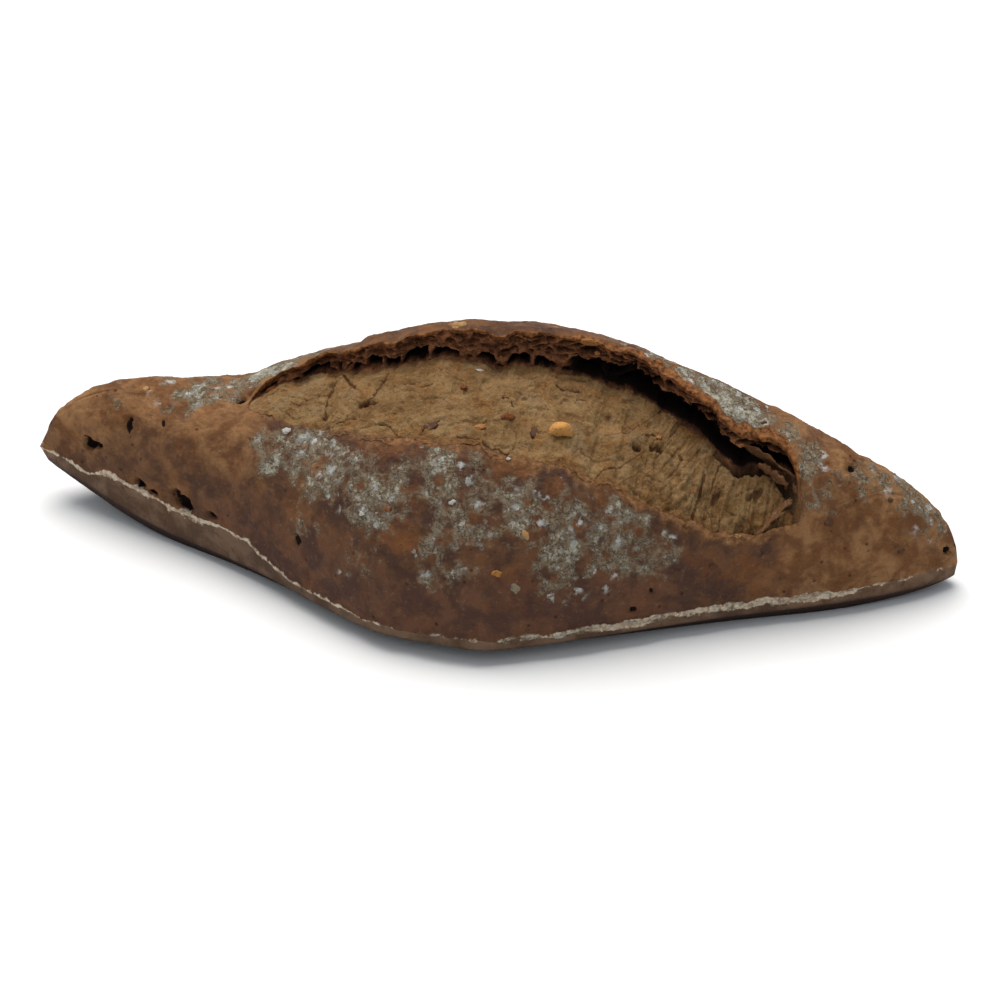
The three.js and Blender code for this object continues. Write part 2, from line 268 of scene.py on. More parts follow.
class Slash:
    """The slash at each station: its front edge, the lip of the ear, and what lies below the lip."""

    def __init__(self, a):
        self.a = a
        self.e = along_slash(a)
        inside = np.clip(self.e, -1, 1)
        end = (SLASH_MIDDLE + inside * SLASH_HALF) / HALF_LENGTH
        past = smooth(1, SEAM_TURN, np.abs(self.e))
        reach = front_reach(a)
        line = (SLASH_LINE + SLASH_TURN * inside) * (1 - past) * reach / front_reach(end)
        seam = reach * mix(SEAM_NARROW, SEAM_WIDE, past)
        self.open = lens(inside, **PARTING)
        self.parting = smooth(0, SEAM_PARTING, self.open)
        self.edge_y = line - lens(inside, **FRONT_OPENING) - seam
        self.edge_y += self.open * torn(self.e, **EDGE_BENDS)
        notch = bell(self.e, **EAR_NOTCH) + torn(self.e, **LIP_BENDS)
        notch += np.interp(self.e, *zip(*LIP_WANDER))
        self.lip_y = line + lens(inside, **EAR_OPENING) + seam + self.open * notch
        self.lift = self.open * plateau(self.e, **EAR_LIFT)
        self.fray = self.open * torn(self.e, **LIP_FRAY)
        thick = mix(LIP_LEFT, LIP_RIGHT, smooth(0, 0.35, self.e)) + torn(self.e, **LIP_THICKNESS)
        self.thick = np.clip(thick, *LIP_LIMITS)
        self.edge_z = front_height(a, self.edge_y)
        self.lip_z = self.ear_top(self.lip_y)
        self.low_z = self.lip_z - bell(self.e, **EAR_DROP) * self.open
        self.floor_z = np.minimum(self.edge_z, self.low_z) - FLOOR_DEPTH * self.open

    def ear_top(self, y):
        """Height of the crust behind the slash, which lifts and frays towards the lip."""
        share = (y - self.lip_y) / (back_reach(self.a) - self.lip_y)
        raised = self.lift * smooth(EAR_BLEND, 0, share) + self.fray * smooth(FRAY_WIDTH, 0, share)
        return back_height(self.a, y) + raised

    def behind(self, depth):
        """A distance behind the lip, which closes at the ends of the slash."""
        return self.lip_y + depth * self.open

    def seam_point(self, share):
        """A point of the closed seam, at a share of the way from the front edge to the lip."""
        y = mix(self.edge_y, self.lip_y, share)
        return y, mix(front_height(self.a, y), back_height(self.a, y), share)

    def closing(self, share, y, z):
        """Past the ends of the slash a point closes to the seam on the crust."""
        seam_y, seam_z = self.seam_point(share)
        return mix(seam_y, y, self.parting), mix(seam_z, z, self.parting)


def path(s, knots):
    """A point at s along straight runs between knots, each a share, y and z."""
    y = knots[0][1] + 0 * s
    z = knots[0][2] + 0 * s
    for (start, start_y, start_z), (end, end_y, end_z) in zip(knots, knots[1:]):
        t = np.clip((s - start) / (end - start), 0, 1)
        y = np.where(s >= start, mix(start_y, end_y, t), y)
        z = np.where(s >= start, mix(start_z, end_z, t), z)
    return y, z


def layer(places, size, octaves=3):
    """Soft noise from about -1 to 1, with features about size millimetres across."""
    return np.array([noise.fractal(Vector(place), 1.0, 2.0, octaves) for place in places / size])


def ridges(places, size):
    """Sharp crests from 0 to 1, as of wrinkled skin."""
    return 1 - np.abs(layer(places, size, 2))


def cell_walls(places, size):
    """Distance to the nearest wall between cells about size millimetres across, from 0 at a wall."""
    near = [noise.voronoi(Vector(place))[0] for place in places / size]
    return np.array([found[1] - found[0] for found in near])


def spots(places, size, share):
    """Rounded spots from 0 to 1 at a share of the cells, each about size millimetres across."""
    depth = np.zeros(len(places))
    for k, place in enumerate(places / size):
        distances, centres = noise.voronoi(Vector(place))
        chosen = noise.cell(centres[0] * 7.3) * 0.5 + 0.5 < share
        depth[k] = max(0.0, 1 - 2.2 * distances[0]) if chosen else 0.0
    return depth


def drawn_sphere(name, columns, stations):
    """A sphere mesh whose poles are to be two ends, with each vertex's end-to-end share and column."""
    around = sum(columns.values())
    form = bmesh.new()
    bmesh.ops.create_uvsphere(form, u_segments=around, v_segments=stations, radius=1)
    mesh = bpy.data.meshes.new(name)
    form.to_mesh(mesh)
    form.free()
    places = vertex_places(mesh)
    turn = np.arccos(np.clip(-places[:, 2], -1, 1)) / math.pi
    share = mix((1 - np.cos(math.pi * turn)) / 2, turn, EVEN_STATIONS)
    column = np.rint(np.arctan2(places[:, 1], places[:, 0]) / (2 * math.pi) * around) % around
    spans = {}
    first = 0
    for span, count in columns.items():
        inside = (column >= first) & (column < first + count)
        spans[span] = (inside, (column - first) / count)
        first += count
    return mesh, 2 * share - 1, spans


def vertex_places(mesh):
    places = np.empty(len(mesh.vertices) * 3)
    mesh.vertices.foreach_get("co", places)
    return places.reshape(-1, 3)


def vertex_normals(mesh):
    normals = np.empty(len(mesh.vertices) * 3)
    mesh.vertices.foreach_get("normal", normals)
    return normals.reshape(-1, 3)


def set_places(mesh, places):
    mesh.vertices.foreach_set("co", places.ravel())
    mesh.update()


def face_outwards(mesh):
    form = bmesh.new()
    form.from_mesh(mesh)
    bmesh.ops.recalc_face_normals(form, faces=form.faces)
    form.to_mesh(mesh)
    form.free()


def paint(mesh, name, values):
    """Keeps a value for each vertex, mostly from 0 to 1, which a finish reads by name."""
    mesh.attributes.new(name, "FLOAT", "POINT").data.foreach_set("value", np.clip(values, 0, 2))


def add_piece(mesh, finish):
    """Puts a mesh in millimetres into the scene as a piece of the roll."""
    set_places(mesh, (vertex_places(mesh) + SET_DOWN) * MM)
    mesh.polygons.foreach_set("use_smooth", [True] * len(mesh.polygons))
    mesh.materials.append(finish)
    piece = bpy.data.objects.new(mesh.name, mesh)
    bpy.context.scene.collection.objects.link(piece)
    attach(piece, "root")
    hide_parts("roll")


# The solid stands on its belly with the middle of its box over the origin
SAMPLES = np.linspace(-1, 1, 2001)
SET_BACK = (front_reach(SAMPLES).max() - back_reach(SAMPLES).max()) / 2
SET_DOWN = np.array([0, SET_BACK, BASE_BELLY["size"]])

# Level of gloss of baked crust
MATT_GLOSS = 0.12


class Term:
    """A socket of a finish, with the sums that the finishes write on it."""

    def __init__(self, finish, socket):
        self.finish = finish
        self.socket = socket

    def sum(self, operation, first, second):
        return self.finish.node("ShaderNodeMath", {"operation": operation}, {0: first, 1: second})

    def __add__(self, other):
        return self.sum("ADD", self, other)

    def __radd__(self, other):
        return self.sum("ADD", other, self)

    def __sub__(self, other):
        return self.sum("SUBTRACT", self, other)

    def __rsub__(self, other):
        return self.sum("SUBTRACT", other, self)

    def __mul__(self, other):
        return self.sum("MULTIPLY", self, other)

    def __rmul__(self, other):
        return self.sum("MULTIPLY", other, self)

    def size(self):
        return self.sum("ABSOLUTE", self, 0)

    def step(self, start, end):
        """A soft step from 0 at start to 1 at end."""
        settings = {"interpolation_type": "SMOOTHSTEP"}
        return self.finish.node("ShaderNodeMapRange", settings, {0: self, 1: start, 2: end})


class Finish:
    """A procedural material on the standard surface shader."""

    def __init__(self, name, roughness):
        self.material = bpy.data.materials.new(name)
        self.material.use_nodes = True
        self.tree = self.material.node_tree
        self.shader = self.tree.nodes["Principled BSDF"]
        self.shader.inputs["Roughness"].default_value = roughness
        self.shader.inputs["Specular IOR Level"].default_value = MATT_GLOSS
        self.places = self.node("ShaderNodeTexCoord", output="Object")

    def node(self, kind, settings=None, sockets=None, output=0):
        """Adds a node: its settings first, then the values or links of its sockets."""
        made = self.tree.nodes.new(kind)
        for name, value in (settings or {}).items():
            setattr(made, name, value)
        for name, value in (sockets or {}).items():
            self.feed(made.inputs[name], value)
        return Term(self, made.outputs[output])

    def feed(self, socket, value):
        if isinstance(value, Term):
            self.tree.links.new(value.socket, socket)
        else:
            socket.default_value = value

    def painted(self, name, output="Fac"):
        return self.node("ShaderNodeAttribute", {"attribute_name": name}, output=output)

    def noise(self, size, detail=4, roughness=0.55, warp=0.0, places=None):
        """Noise from 0 to 1 with features about size millimetres across."""
        sockets = {"Vector": places or self.places, "Scale": 1 / (size * MM), "Detail": detail}
        sockets.update({"Roughness": roughness, "Distortion": warp})
        return self.node("ShaderNodeTexNoise", {}, sockets)

    def cells(self, size, output="Distance", places=None):
        """Cells about size millimetres across: the distance to each middle, or a colour of its own."""
        sockets = {"Scale": 1 / (size * MM), "Vector": places or self.places}
        return self.node("ShaderNodeTexVoronoi", {}, sockets, output=output)

    def vector_sum(self, operation, sockets):
        return self.node("ShaderNodeVectorMath", {"operation": operation}, sockets)

    def bent(self, size, amount):
        """Places pushed about by noise, so that what is drawn on them loses its straight edges."""
        sockets = {"Scale": 1 / (size * MM), "Detail": 3, "Vector": self.places}
        push = self.node("ShaderNodeTexNoise", {}, sockets, output="Color")
        push = self.vector_sum("SUBTRACT", {0: push, 1: (0.5, 0.5, 0.5)})
        push = self.vector_sum("SCALE", {0: push, "Scale": amount * MM})
        return self.vector_sum("ADD", {0: self.places, 1: push})

    def flakes(self, places, size, cover, ragged):
        """Separate ragged flakes about size millimetres across, more of them where cover is higher."""
        chosen = (cover * 0.35 - self.cells(size, "Color", places)).step(0.0, 0.12)
        return (self.cells(size, "Distance", places) + ragged * 1.2 - 0.6).step(0.46, 0.08) * chosen

    def blend(self, share, first, second):
        """A colour between two, by share."""
        settings = {"data_type": "RGBA"}
        return self.node("ShaderNodeMix", settings, {0: share, 6: first, 7: second}, output=2)

    def bump(self, height, distance):
        sockets = {"Height": height, "Distance": distance * MM, "Strength": 1.0}
        self.feed(self.shader.inputs["Normal"], self.node("ShaderNodeBump", {}, sockets))

    def colour(self, term):
        self.feed(self.shader.inputs["Base Color"], term)

    def roughness(self, term):
        self.feed(self.shader.inputs["Roughness"], term)


def rgb(red, green, blue):
    return (red, green, blue, 1)


# Colours of the crust, in pairs where it varies between a darker and a lighter one
DARK_CRUST = rgb(0.070, 0.034, 0.022), rgb(0.140, 0.062, 0.028)
GOLDEN_CRUST = rgb(0.150, 0.063, 0.023), rgb(0.290, 0.148, 0.063)
LOW_CRUST = rgb(0.076, 0.036, 0.026), rgb(0.118, 0.055, 0.034)
TORN_CRUST = rgb(0.085, 0.027, 0.008), rgb(0.300, 0.120, 0.036)
TOASTED_CRUST = rgb(0.185, 0.083, 0.029), rgb(0.370, 0.185, 0.078)
FLOURY_BASE = rgb(0.090, 0.051, 0.031), rgb(0.170, 0.108, 0.070)
FLOUR_FILM = rgb(0.185, 0.134, 0.080), rgb(0.280, 0.222, 0.150)
PALE_RIM = rgb(0.420, 0.300, 0.205), rgb(0.640, 0.550, 0.420)
WARM_BLOTCH = rgb(0.215, 0.076, 0.019)
BURNT_BLOTCH = rgb(0.070, 0.033, 0.023)
PALE_FLECK = rgb(0.300, 0.185, 0.095)
DARK_FLECK = rgb(0.048, 0.021, 0.012)
# Painted shade inside the pores
PORE_SHADE = rgb(0.030, 0.013, 0.008)
# Painted shade on the underside of the base, next to the floor
UNDERSIDE_SHADE = rgb(0.030, 0.016, 0.012)
FLOUR_STROKE = rgb(0.360, 0.315, 0.240)
FLOUR_GROOVE = rgb(0.080, 0.042, 0.022)
FLOUR_COAT = rgb(0.450, 0.425, 0.340)
FLOUR_FLAKE = rgb(0.550, 0.560, 0.530)
# Painted shade, near black, in burst bubbles of the crust and in the deep cells, crevice and seam of the
# tear
HOLLOW_SHADE = rgb(0.014, 0.007, 0.005)
# What flour and noise together have to pass to leave a film, and a bright coat
FILM_NEEDS = 2.32
COAT_NEEDS = 3.70

# Colours of the crumb and of the torn cells
CRUMB_TAN = rgb(0.182, 0.097, 0.036), rgb(0.258, 0.156, 0.067)
CRUMB_EDGE = rgb(0.110, 0.044, 0.015), rgb(0.260, 0.125, 0.042)
CELL_WEB = rgb(0.130, 0.048, 0.022), rgb(0.420, 0.175, 0.075)
GREY_STAIN = rgb(0.205, 0.142, 0.078)
RUSTY_STAIN = rgb(0.235, 0.106, 0.032)
# Painted shade in the dips and painted highlight on the crests of the crumb's relief
SOFT_DIP_SHADE = rgb(0.120, 0.058, 0.020)
SOFT_CREST_HIGHLIGHT = rgb(0.300, 0.205, 0.105)
STRAND_DIP_SHADE = rgb(0.105, 0.050, 0.018)
STRAND_CREST_HIGHLIGHT = rgb(0.330, 0.215, 0.098)
FINE_DIP_SHADE = rgb(0.095, 0.046, 0.016)
SPECK_DIP_SHADE = rgb(0.085, 0.040, 0.014)
SPECK_CREST_HIGHLIGHT = rgb(0.400, 0.285, 0.145)
BRAN_DASH = rgb(0.120, 0.046, 0.015)
# Painted shade where the crumb runs under the ear and towards the right end
DUSK_SHADE = rgb(0.120, 0.055, 0.020)
# Painted shade in the pits and cracks of the crumb
PIT_SHADE = rgb(0.062, 0.024, 0.009)

# Colours that break up the tint of a grain: painted shade in the dips of its relief, and a paler husk
GRAIN_DIP_SHADE = rgb(0.050, 0.022, 0.010)
GRAIN_HUSK = rgb(0.420, 0.300, 0.170)
# Depth of the finest relief of crust and crumb, and of a grain
BAKED_RELIEF = 0.45
GRAIN_RELIEF = 0.25


def crust_finish():
    """Dark brown crust, mottled, with flour in a broken film, a pale rim and a floury base, and painted
    shade in pores, burst bubbles and on the underside near the floor.
    """
    finish = Finish("crust", 0.8)
    broad = finish.noise(13, 3)
    blotch = finish.noise(5.5, 4, 0.55, 0.6)
    mottle = finish.noise(1.9, 4, 0.6, 0.3)
    fine = finish.noise(0.7, 4, 0.6)
    speck = finish.noise(0.3, 2, 0.6)
    tone = (blotch * 0.7 + mottle * 0.3).step(0.4, 0.6)
    shade = fine.step(0.35, 0.65)
    gold = (finish.painted("gold") + broad * 1.2 - 0.6).step(0.1, 0.9)
    skin = finish.blend(gold, finish.blend(tone, *DARK_CRUST), finish.blend(tone, *GOLDEN_CRUST))
    warm = finish.noise(6.5, 4, 0.6, 0.5).step(0.5, 0.64)
    skin = finish.blend(warm * (1 - gold * 0.6) * 0.42, skin, WARM_BLOTCH)
    low = (finish.painted("low") + broad * 0.8 - 0.4).step(0.1, 0.9)
    skin = finish.blend(low * 0.6, skin, finish.blend(tone, *LOW_CRUST))
    burnt = finish.noise(4.1, 4, 0.6, 0.5).step(0.46, 0.34)
    skin = finish.blend(burnt * 0.35, skin, BURNT_BLOTCH)
    skin = finish.blend(fine.step(0.56, 0.76) * 0.3, skin, PALE_FLECK)
    skin = finish.blend(fine.step(0.44, 0.26) * 0.45, skin, DARK_FLECK)
    # Painted shade in the pores, which the bump also sinks
    chosen = finish.cells(1.9, "Color").step(0.44, 0.38)
    shaded_pore = finish.cells(1.9).step(0.18, 0.08) * chosen
    skin = finish.blend(shaded_pore * 0.6, skin, PORE_SHADE)
    torn_edge = (finish.painted("cut") + mottle * 1.4 - 1.0).step(0.0, 0.4)
    skin = finish.blend(torn_edge * 0.9, skin, finish.blend(shade, *TORN_CRUST))
    toast = (finish.painted("toast") + mottle * 1.6 - 0.95).step(0.0, 0.8)
    skin = finish.blend(toast * 0.75, skin, finish.blend(shade, *TOASTED_CRUST))
    skin = finish.blend(finish.painted("heel") * 0.85, skin, finish.blend(tone, *FLOURY_BASE))
    # Painted shade on the underside of the base, darker towards the floor
    skin = finish.blend(finish.painted("under"), skin, UNDERSIDE_SHADE)

    patchy = finish.noise(2.3, 3, 0.55)
    dust = finish.noise(0.9, 5, 0.7)
    grit = finish.noise(0.4, 3, 0.65)
    cover = finish.painted("flour") * (0.35 + finish.noise(5, 3, 0.6) * 1.3)
    cover = cover * (1 - torn_edge) * (1 - toast * 0.7)
    film = (cover * 0.9 + patchy * 2.2 + mottle - FILM_NEEDS).step(0.0, 0.42)
    coat = (cover * 0.7 + patchy * 2.0 + dust * 2.3 + grit * 1.1 - COAT_NEEDS).step(0.0, 0.22)
    stroke = (finish.noise(1.2, 3, 0.6, 0.8) - 0.5).size().step(0.05, 0.0)
    groove = (finish.noise(1.5, 3, 0.6, 0.8) - 0.47).size().step(0.04, 0.0)
    flake = finish.flakes(finish.bent(1.5, 1.8), 2.0, cover, fine)
    film_colour = finish.blend(shade, *FLOUR_FILM)
    film_colour = finish.blend(stroke * 0.7, film_colour, FLOUR_STROKE)
    film_colour = finish.blend(groove * 0.75, film_colour, FLOUR_GROOVE)
    skin = finish.blend(film * 0.78, skin, film_colour)
    skin = finish.blend(coat * 0.72, skin, FLOUR_COAT)
    skin = finish.blend(flake * 0.8, skin, FLOUR_FLAKE)

    rim = (finish.painted("rim") + fine * 0.9 + patchy * 1.2 - 1.4).step(0.0, 0.3)
    skin = finish.blend(rim * 0.9, skin, finish.blend(fine.step(0.4, 0.6), *PALE_RIM))
    # Painted shade, near black, in the burst bubbles and tears
    hole_shade = (finish.painted("hole_shade") + fine * 0.5 - 0.25).step(0.35, 0.55)
    skin = finish.blend(hole_shade, skin, HOLLOW_SHADE)
    finish.colour(skin)
    finish.roughness(0.6 + film * 0.25 + fine * 0.2)
    relief = fine * 0.4 + speck * 0.2 + mottle * 1.1 + (stroke - groove) * film * 0.3
    relief = relief + coat * 0.3 + flake * 0.2 - shaded_pore * 0.5
    finish.bump(relief, BAKED_RELIEF)
    return finish.material


def tear_finish():
    """Tan crumb with stretched strands and thin brown webs of torn cells under the ear, with painted
    shade in the dips, pits, cracks, cells and crevice and towards the ear, and painted highlight on the
    crests.
    """
    finish = Finish("crumb", 0.9)
    strands = finish.painted("strands", "Vector")
    mottle = finish.noise(5, 4, 0.6)
    soft = finish.noise(2.2, 4, 0.6, 0.5)
    fine = finish.noise(0.9, 5, 0.65, 0.3)
    speck = finish.noise(0.35, 3, 0.6)
    fibre = finish.noise(0.8, 4, 0.6, 0.3, strands)
    fibrous = finish.painted("fibrous")
    tan = finish.blend(mottle.step(0.38, 0.62), *CRUMB_TAN)
    tan = finish.blend(finish.noise(7, 3).step(0.54, 0.66) * 0.5, tan, GREY_STAIN)
    tan = finish.blend(finish.noise(4, 4, 0.6, 0.5).step(0.52, 0.64) * 0.65, tan, RUSTY_STAIN)
    # Painted shade in the dips and painted highlight on the crests of the relief that the bump also
    # draws
    tan = finish.blend(soft.step(0.46, 0.3) * 0.7, tan, SOFT_DIP_SHADE)
    tan = finish.blend(soft.step(0.54, 0.7) * 0.45, tan, SOFT_CREST_HIGHLIGHT)
    tan = finish.blend(fibre.step(0.46, 0.3) * fibrous * 0.8, tan, STRAND_DIP_SHADE)
    tan = finish.blend(fibre.step(0.56, 0.75) * fibrous * 0.7, tan, STRAND_CREST_HIGHLIGHT)
    tan = finish.blend(fine.step(0.44, 0.3) * 0.7, tan, FINE_DIP_SHADE)
    tan = finish.blend(speck.step(0.44, 0.3) * 0.6, tan, SPECK_DIP_SHADE)
    tan = finish.blend(speck.step(0.56, 0.74) * 0.55, tan, SPECK_CREST_HIGHLIGHT)
    chosen = finish.cells(0.8, "Color", strands).step(0.36, 0.3)
    dash = finish.cells(0.8, "Distance", strands).step(0.4, 0.2) * chosen
    tan = finish.blend(dash * 0.5, tan, BRAN_DASH)
    torn_edge = (finish.painted("cut") + soft * 1.1 - 0.8).step(0.0, 0.6)
    tan = finish.blend(torn_edge * 0.7, tan, finish.blend(fine.step(0.35, 0.65), *CRUMB_EDGE))
    # Painted shade under the ear and towards the right end
    tan = finish.blend(finish.painted("dusk_shade") * 0.25, tan, DUSK_SHADE)
    crumb = finish.blend(finish.painted("wall"), tan, finish.blend(fine.step(0.3, 0.7), *CELL_WEB))
    # Painted shade, near black, deeper in the cells, in the crevice and along the seam of crumb and wall
    crumb = finish.blend(finish.painted("deep"), crumb, HOLLOW_SHADE)
    # Painted shade in the pits and cracks
    shaded_pit = (finish.painted("shaded_pit") + fine * 0.5 - 0.25).step(0.25, 0.6)
    crumb = finish.blend(shaded_pit * 0.75, crumb, PIT_SHADE)
    finish.colour(crumb)
    relief = fine * 0.9 + speck * 0.45 + soft * 0.4 + fibre * fibrous * 0.8 - dash * 0.2
    finish.bump(relief, BAKED_RELIEF)
    return finish.material


def grain_finish():
    """Grains, seeds, torn shreds of crust and chips of flour, each with a tint of its own, with painted
    shade in the dips of the relief.
    """
    finish = Finish("grains", 0.7)
    tint = finish.painted("tint", "Color")
    fine = finish.noise(0.5, 4, 0.6)
    # Painted shade in the dips of the grain's relief
    skin = finish.blend(fine.step(0.5, 0.28) * 0.6, tint, GRAIN_DIP_SHADE)
    skin = finish.blend(finish.noise(1.1, 3, 0.6).step(0.54, 0.7) * 0.3, skin, GRAIN_HUSK)
    finish.colour(skin)
    finish.bump(fine, GRAIN_RELIEF)
    return finish.material


# Burst bubbles and tears in the crust: x, y and z of the middle, and half sizes along, upwards and in
HOLES = [
    (-66.4, -5.0, 11.1, 1.3, 1.15, 2.0),
    (-64.8, -5.7, 11.5, 2.2, 0.6, 1.3),
    (-67.6, -4.6, 12.1, 0.8, 0.4, 0.8),
    (-59.1, -7.2, 16.6, 0.55, 1.6, 1.1),
    (-52.9, -8.0, 18.2, 0.4, 0.8, 0.6),
    (-56.9, -9.7, 7.3, 1.0, 1.3, 1.8),
    (-54.4, -10.8, 6.6, 1.7, 0.6, 1.5),
    (-50.2, -12.7, 7.9, 0.7, 1.0, 1.6),
    (-48.3, -13.6, 6.8, 2.0, 1.3, 2.2),
    (-43.3, -16.3, 7.0, 1.2, 0.6, 1.5),
    (-27.1, -25.5, 10.0, 0.7, 1.1, 0.9),
    (-40.2, -6.3, 22.9, 1.9, 0.5, 1.2),
    (-38.6, -5.4, 23.6, 0.9, 0.6, 1.4),
    (26.9, -27.2, 4.4, 0.6, 0.6, 0.7),
    (29.5, -25.6, 7.1, 0.5, 0.5, 0.7),
    (57.6, -4.1, 19.7, 0.8, 1.0, 1.0),
    (73.6, -2.0, 5.1, 0.9, 0.8, 1.2),
    (-20.0, 24.0, 9.5, 0.9, 0.7, 1.2),
    (17.0, 25.5, 14.0, 0.7, 0.9, 1.0),
    (46.0, 15.5, 7.0, 1.3, 0.6, 1.4),
]

# Patches of flour: x, y and z of the middle, radius and strength
FLOUR_PATCHES = [
    (-33.2, -16.7, 20.5, 6, 1.2),
    (-27.0, -18.5, 22.2, 7, 1.3),
    (-23.9, -22.1, 21.2, 8, 1.2),
    (-26.7, -24.9, 13.4, 6, 0.9),
    (-18.5, -24.5, 22.5, 6, 1.1),
    (-13.7, -28.4, 20.6, 8, 1.2),
    (-8.5, -26.5, 24.0, 6, 1.1),
    (-4.1, -25.7, 25.4, 8, 1.2),
    (1.5, -29.5, 21.2, 8, 1.2),
    (-2.4, -33.8, 14.3, 7, 1.0),
    (-15.5, -32.1, 11.8, 6, 0.9),
    (9.1, -28.6, 21.4, 7, 1.2),
    (16.8, -28.3, 18.6, 9, 1.25),
    (24.4, -26.0, 16.4, 9, 1.3),
    (29.0, -25.0, 12.6, 7, 1.1),
    (16.0, -31.4, 11.4, 6, 1.0),
    (-61.3, -2.6, 20.4, 5, 0.7),
    (-54.1, -3.6, 21.2, 6, 0.85),
    (-47.0, -3.5, 22.5, 6, 1.2),
    (-42.5, -3.0, 23.0, 4, 1.4),
    (-38.0, -1.1, 25.0, 4, 1.9),
    (-34.6, 0.1, 26.9, 4, 1.7),
    (20.5, -1.0, 35.8, 4, 1.2),
    (25.1, -1.3, 34.6, 5, 1.5),
    (31.7, -2.5, 32.2, 5, 1.5),
    (36.3, -3.2, 30.3, 5, 1.6),
    (41.7, -4.5, 27.8, 5, 1.6),
    (46.2, -6.0, 25.3, 5, 1.5),
    (51.0, -6.8, 22.5, 5, 1.2),
    (56.5, -6.8, 19.8, 5, 0.9),
    (54.0, -10.0, 18.0, 5, 0.9),
    (60.5, -3.5, 17.3, 6, 1.0),
    (66.1, -1.0, 13.8, 7, 1.0),
    (70.0, -1.5, 9.5, 5, 1.0),
]
# How pale the rim is along the roll: share of the half length and paleness
RIM_PALE = [
    (-1, 0.7),
    (-0.88, 0.7),
    (-0.85, 1.1),
    (-0.6, 1.1),
    (-0.5, 0.75),
    (-0.3, 0.6),
    (-0.1, 0.4),
    (0.1, 0.35),
    (0.25, 0.85),
    (0.8, 0.85),
    (0.9, 0.4),
]
# The same for the white band under the rim in front, and for the toasted fold along the slash
BAND_PALE = [(0.12, 0), (0.3, 1), (0.8, 1), (0.83, 0)]
TOAST_DEPTH = [(-0.8, 0), (-0.4, 0.75), (0.2, 0.75), (0.6, 1)]
# More flour behind, spread by seed: how many patches, and the smallest and largest radius
BACK_FLOUR = dict(count=46, least=3, most=9, seed=8)


def back_flour(count, least, most, seed):
    """Patches of flour all over the back of the roll."""
    draw = np.random.default_rng(seed)
    a = draw.uniform(-0.8, 0.85, count)
    y = draw.uniform(0.1, 0.85, count) * back_reach(a)
    radius = draw.uniform(least, most, count)
    strength = draw.uniform(0.6, 1.2, count)
    return list(zip(a * HALF_LENGTH, y, back_height(a, y), radius, strength))


def swell(places):
    """Uneven rise of the dough, which crust and crumb share."""
    return 0.35 * layer(places, 9) + 0.14 * layer(places, 3)


def build_loaf():
    """The crust all round: flank, the cut edges of the slash, the back and the floury base."""
    mesh, a, spans = drawn_sphere("loaf", LOAF_COLUMNS, LOAF_STATIONS)
    a = np.clip(a, -NEAR_TIP, NEAR_TIP)
    slash = Slash(a)
    y = np.zeros_like(a)
    z = np.zeros_like(a)

    def share(span):
        return np.clip(spans[span][1], 0, 1)

    def lay(span, span_y, span_z):
        inside = spans[span][0]
        y[inside] = span_y[inside]
        z[inside] = span_z[inside]

    s = share("flank")
    flank_y = mix(-front_reach(a), slash.edge_y, 1 - np.cos(s * math.pi / 2))
    lay("flank", flank_y, front_height(a, flank_y))

    s = share("edge")
    turned_y = slash.edge_y + EDGE_TURN * s
    turned_z = slash.edge_z - CRUST_THICKNESS * s
    lay("edge", *slash.closing(EDGE_SHARE * s, turned_y, turned_z))

    s = share("inside")
    far_y = slash.behind(CAVITY_DEPTH + LOAF_ROOM)
    near_y = slash.behind(BROW_DEPTH)
    inner_y, inner_z = path(s, [
        (0.0, slash.edge_y + EDGE_TURN, slash.edge_z - CRUST_THICKNESS),
        (0.15, slash.edge_y + LOAF_FLOOR_START * slash.open, slash.floor_z),
        (0.45, far_y, slash.floor_z),
        (0.65, far_y, slash.ear_top(far_y) - CRUST_THICKNESS),
        (1.0, near_y, slash.ear_top(near_y) - CRUST_THICKNESS),
    ])
    inner_z = np.where(s > 0.65, slash.ear_top(inner_y) - CRUST_THICKNESS, inner_z)
    lay("inside", *slash.closing(mix(EDGE_SHARE, INSIDE_SHARE, s), inner_y, inner_z))

    s = share("brow")
    brow_y = slash.behind(BROW_DEPTH * (1 - s) ** 3)
    thick = mix(CRUST_THICKNESS, slash.thick, smooth(0, 0.3, s))
    brow_z = slash.ear_top(brow_y) - thick * (1 - s) ** 0.6
    lay("brow", *slash.closing(mix(INSIDE_SHARE, 1, s), brow_y, brow_z))

    s = share("back")
    back_y = mix(slash.lip_y, back_reach(a), 0.5 * (np.sin(s * math.pi / 2) + s))
    lay("back", back_y, slash.ear_top(back_y))

    s = share("base")
    turn = np.cos(math.pi * s)
    across = 1 - (1 - np.abs(turn)) ** BASE_SPREAD
    base_y = across * np.where(turn > 0, back_reach(a), -front_reach(a))
    lay("base", base_y, mix(base_height(a), rim_height(a), across**BASE_WALL) - base_belly(a, across))

    set_places(mesh, np.stack([a * HALF_LENGTH, y, z], 1))
    face_outwards(mesh)
    surface = roughen_loaf(mesh, a, spans, slash)
    add_piece(mesh, crust_finish())
    return surface


def flour_at(places):
    """Density of flour from the patches."""
    dusting = np.zeros(len(places))
    for x, y, z, radius, strength in FLOUR_PATCHES + back_flour(**BACK_FLOUR):
        away = np.linalg.norm(places - [x, y, z], axis=1) / radius
        dusting = np.maximum(dusting, strength * smooth(1.5, 0.3, away))
    return dusting


class Rim:
    """The sharp rim where the crust meets the base: how each vertex lies to it, and how near it is."""

    def __init__(self, places, a):
        y = places[:, 1]
        outer = smooth(0.84, 0.96, np.abs(y) / np.where(y < 0, front_reach(a), back_reach(a)))
        self.outer = np.maximum(outer, smooth(0.94, 0.99, np.abs(a)))
        self.above = places[:, 2] - rim_height(a)
        self.along = places * [1, 0.15, 0.15]
        width = np.clip(0.36 + 0.3 * layer(self.along + 60, 3), 0.15, 1)
        self.near = np.exp(-((self.above / width) ** 2)) * self.outer


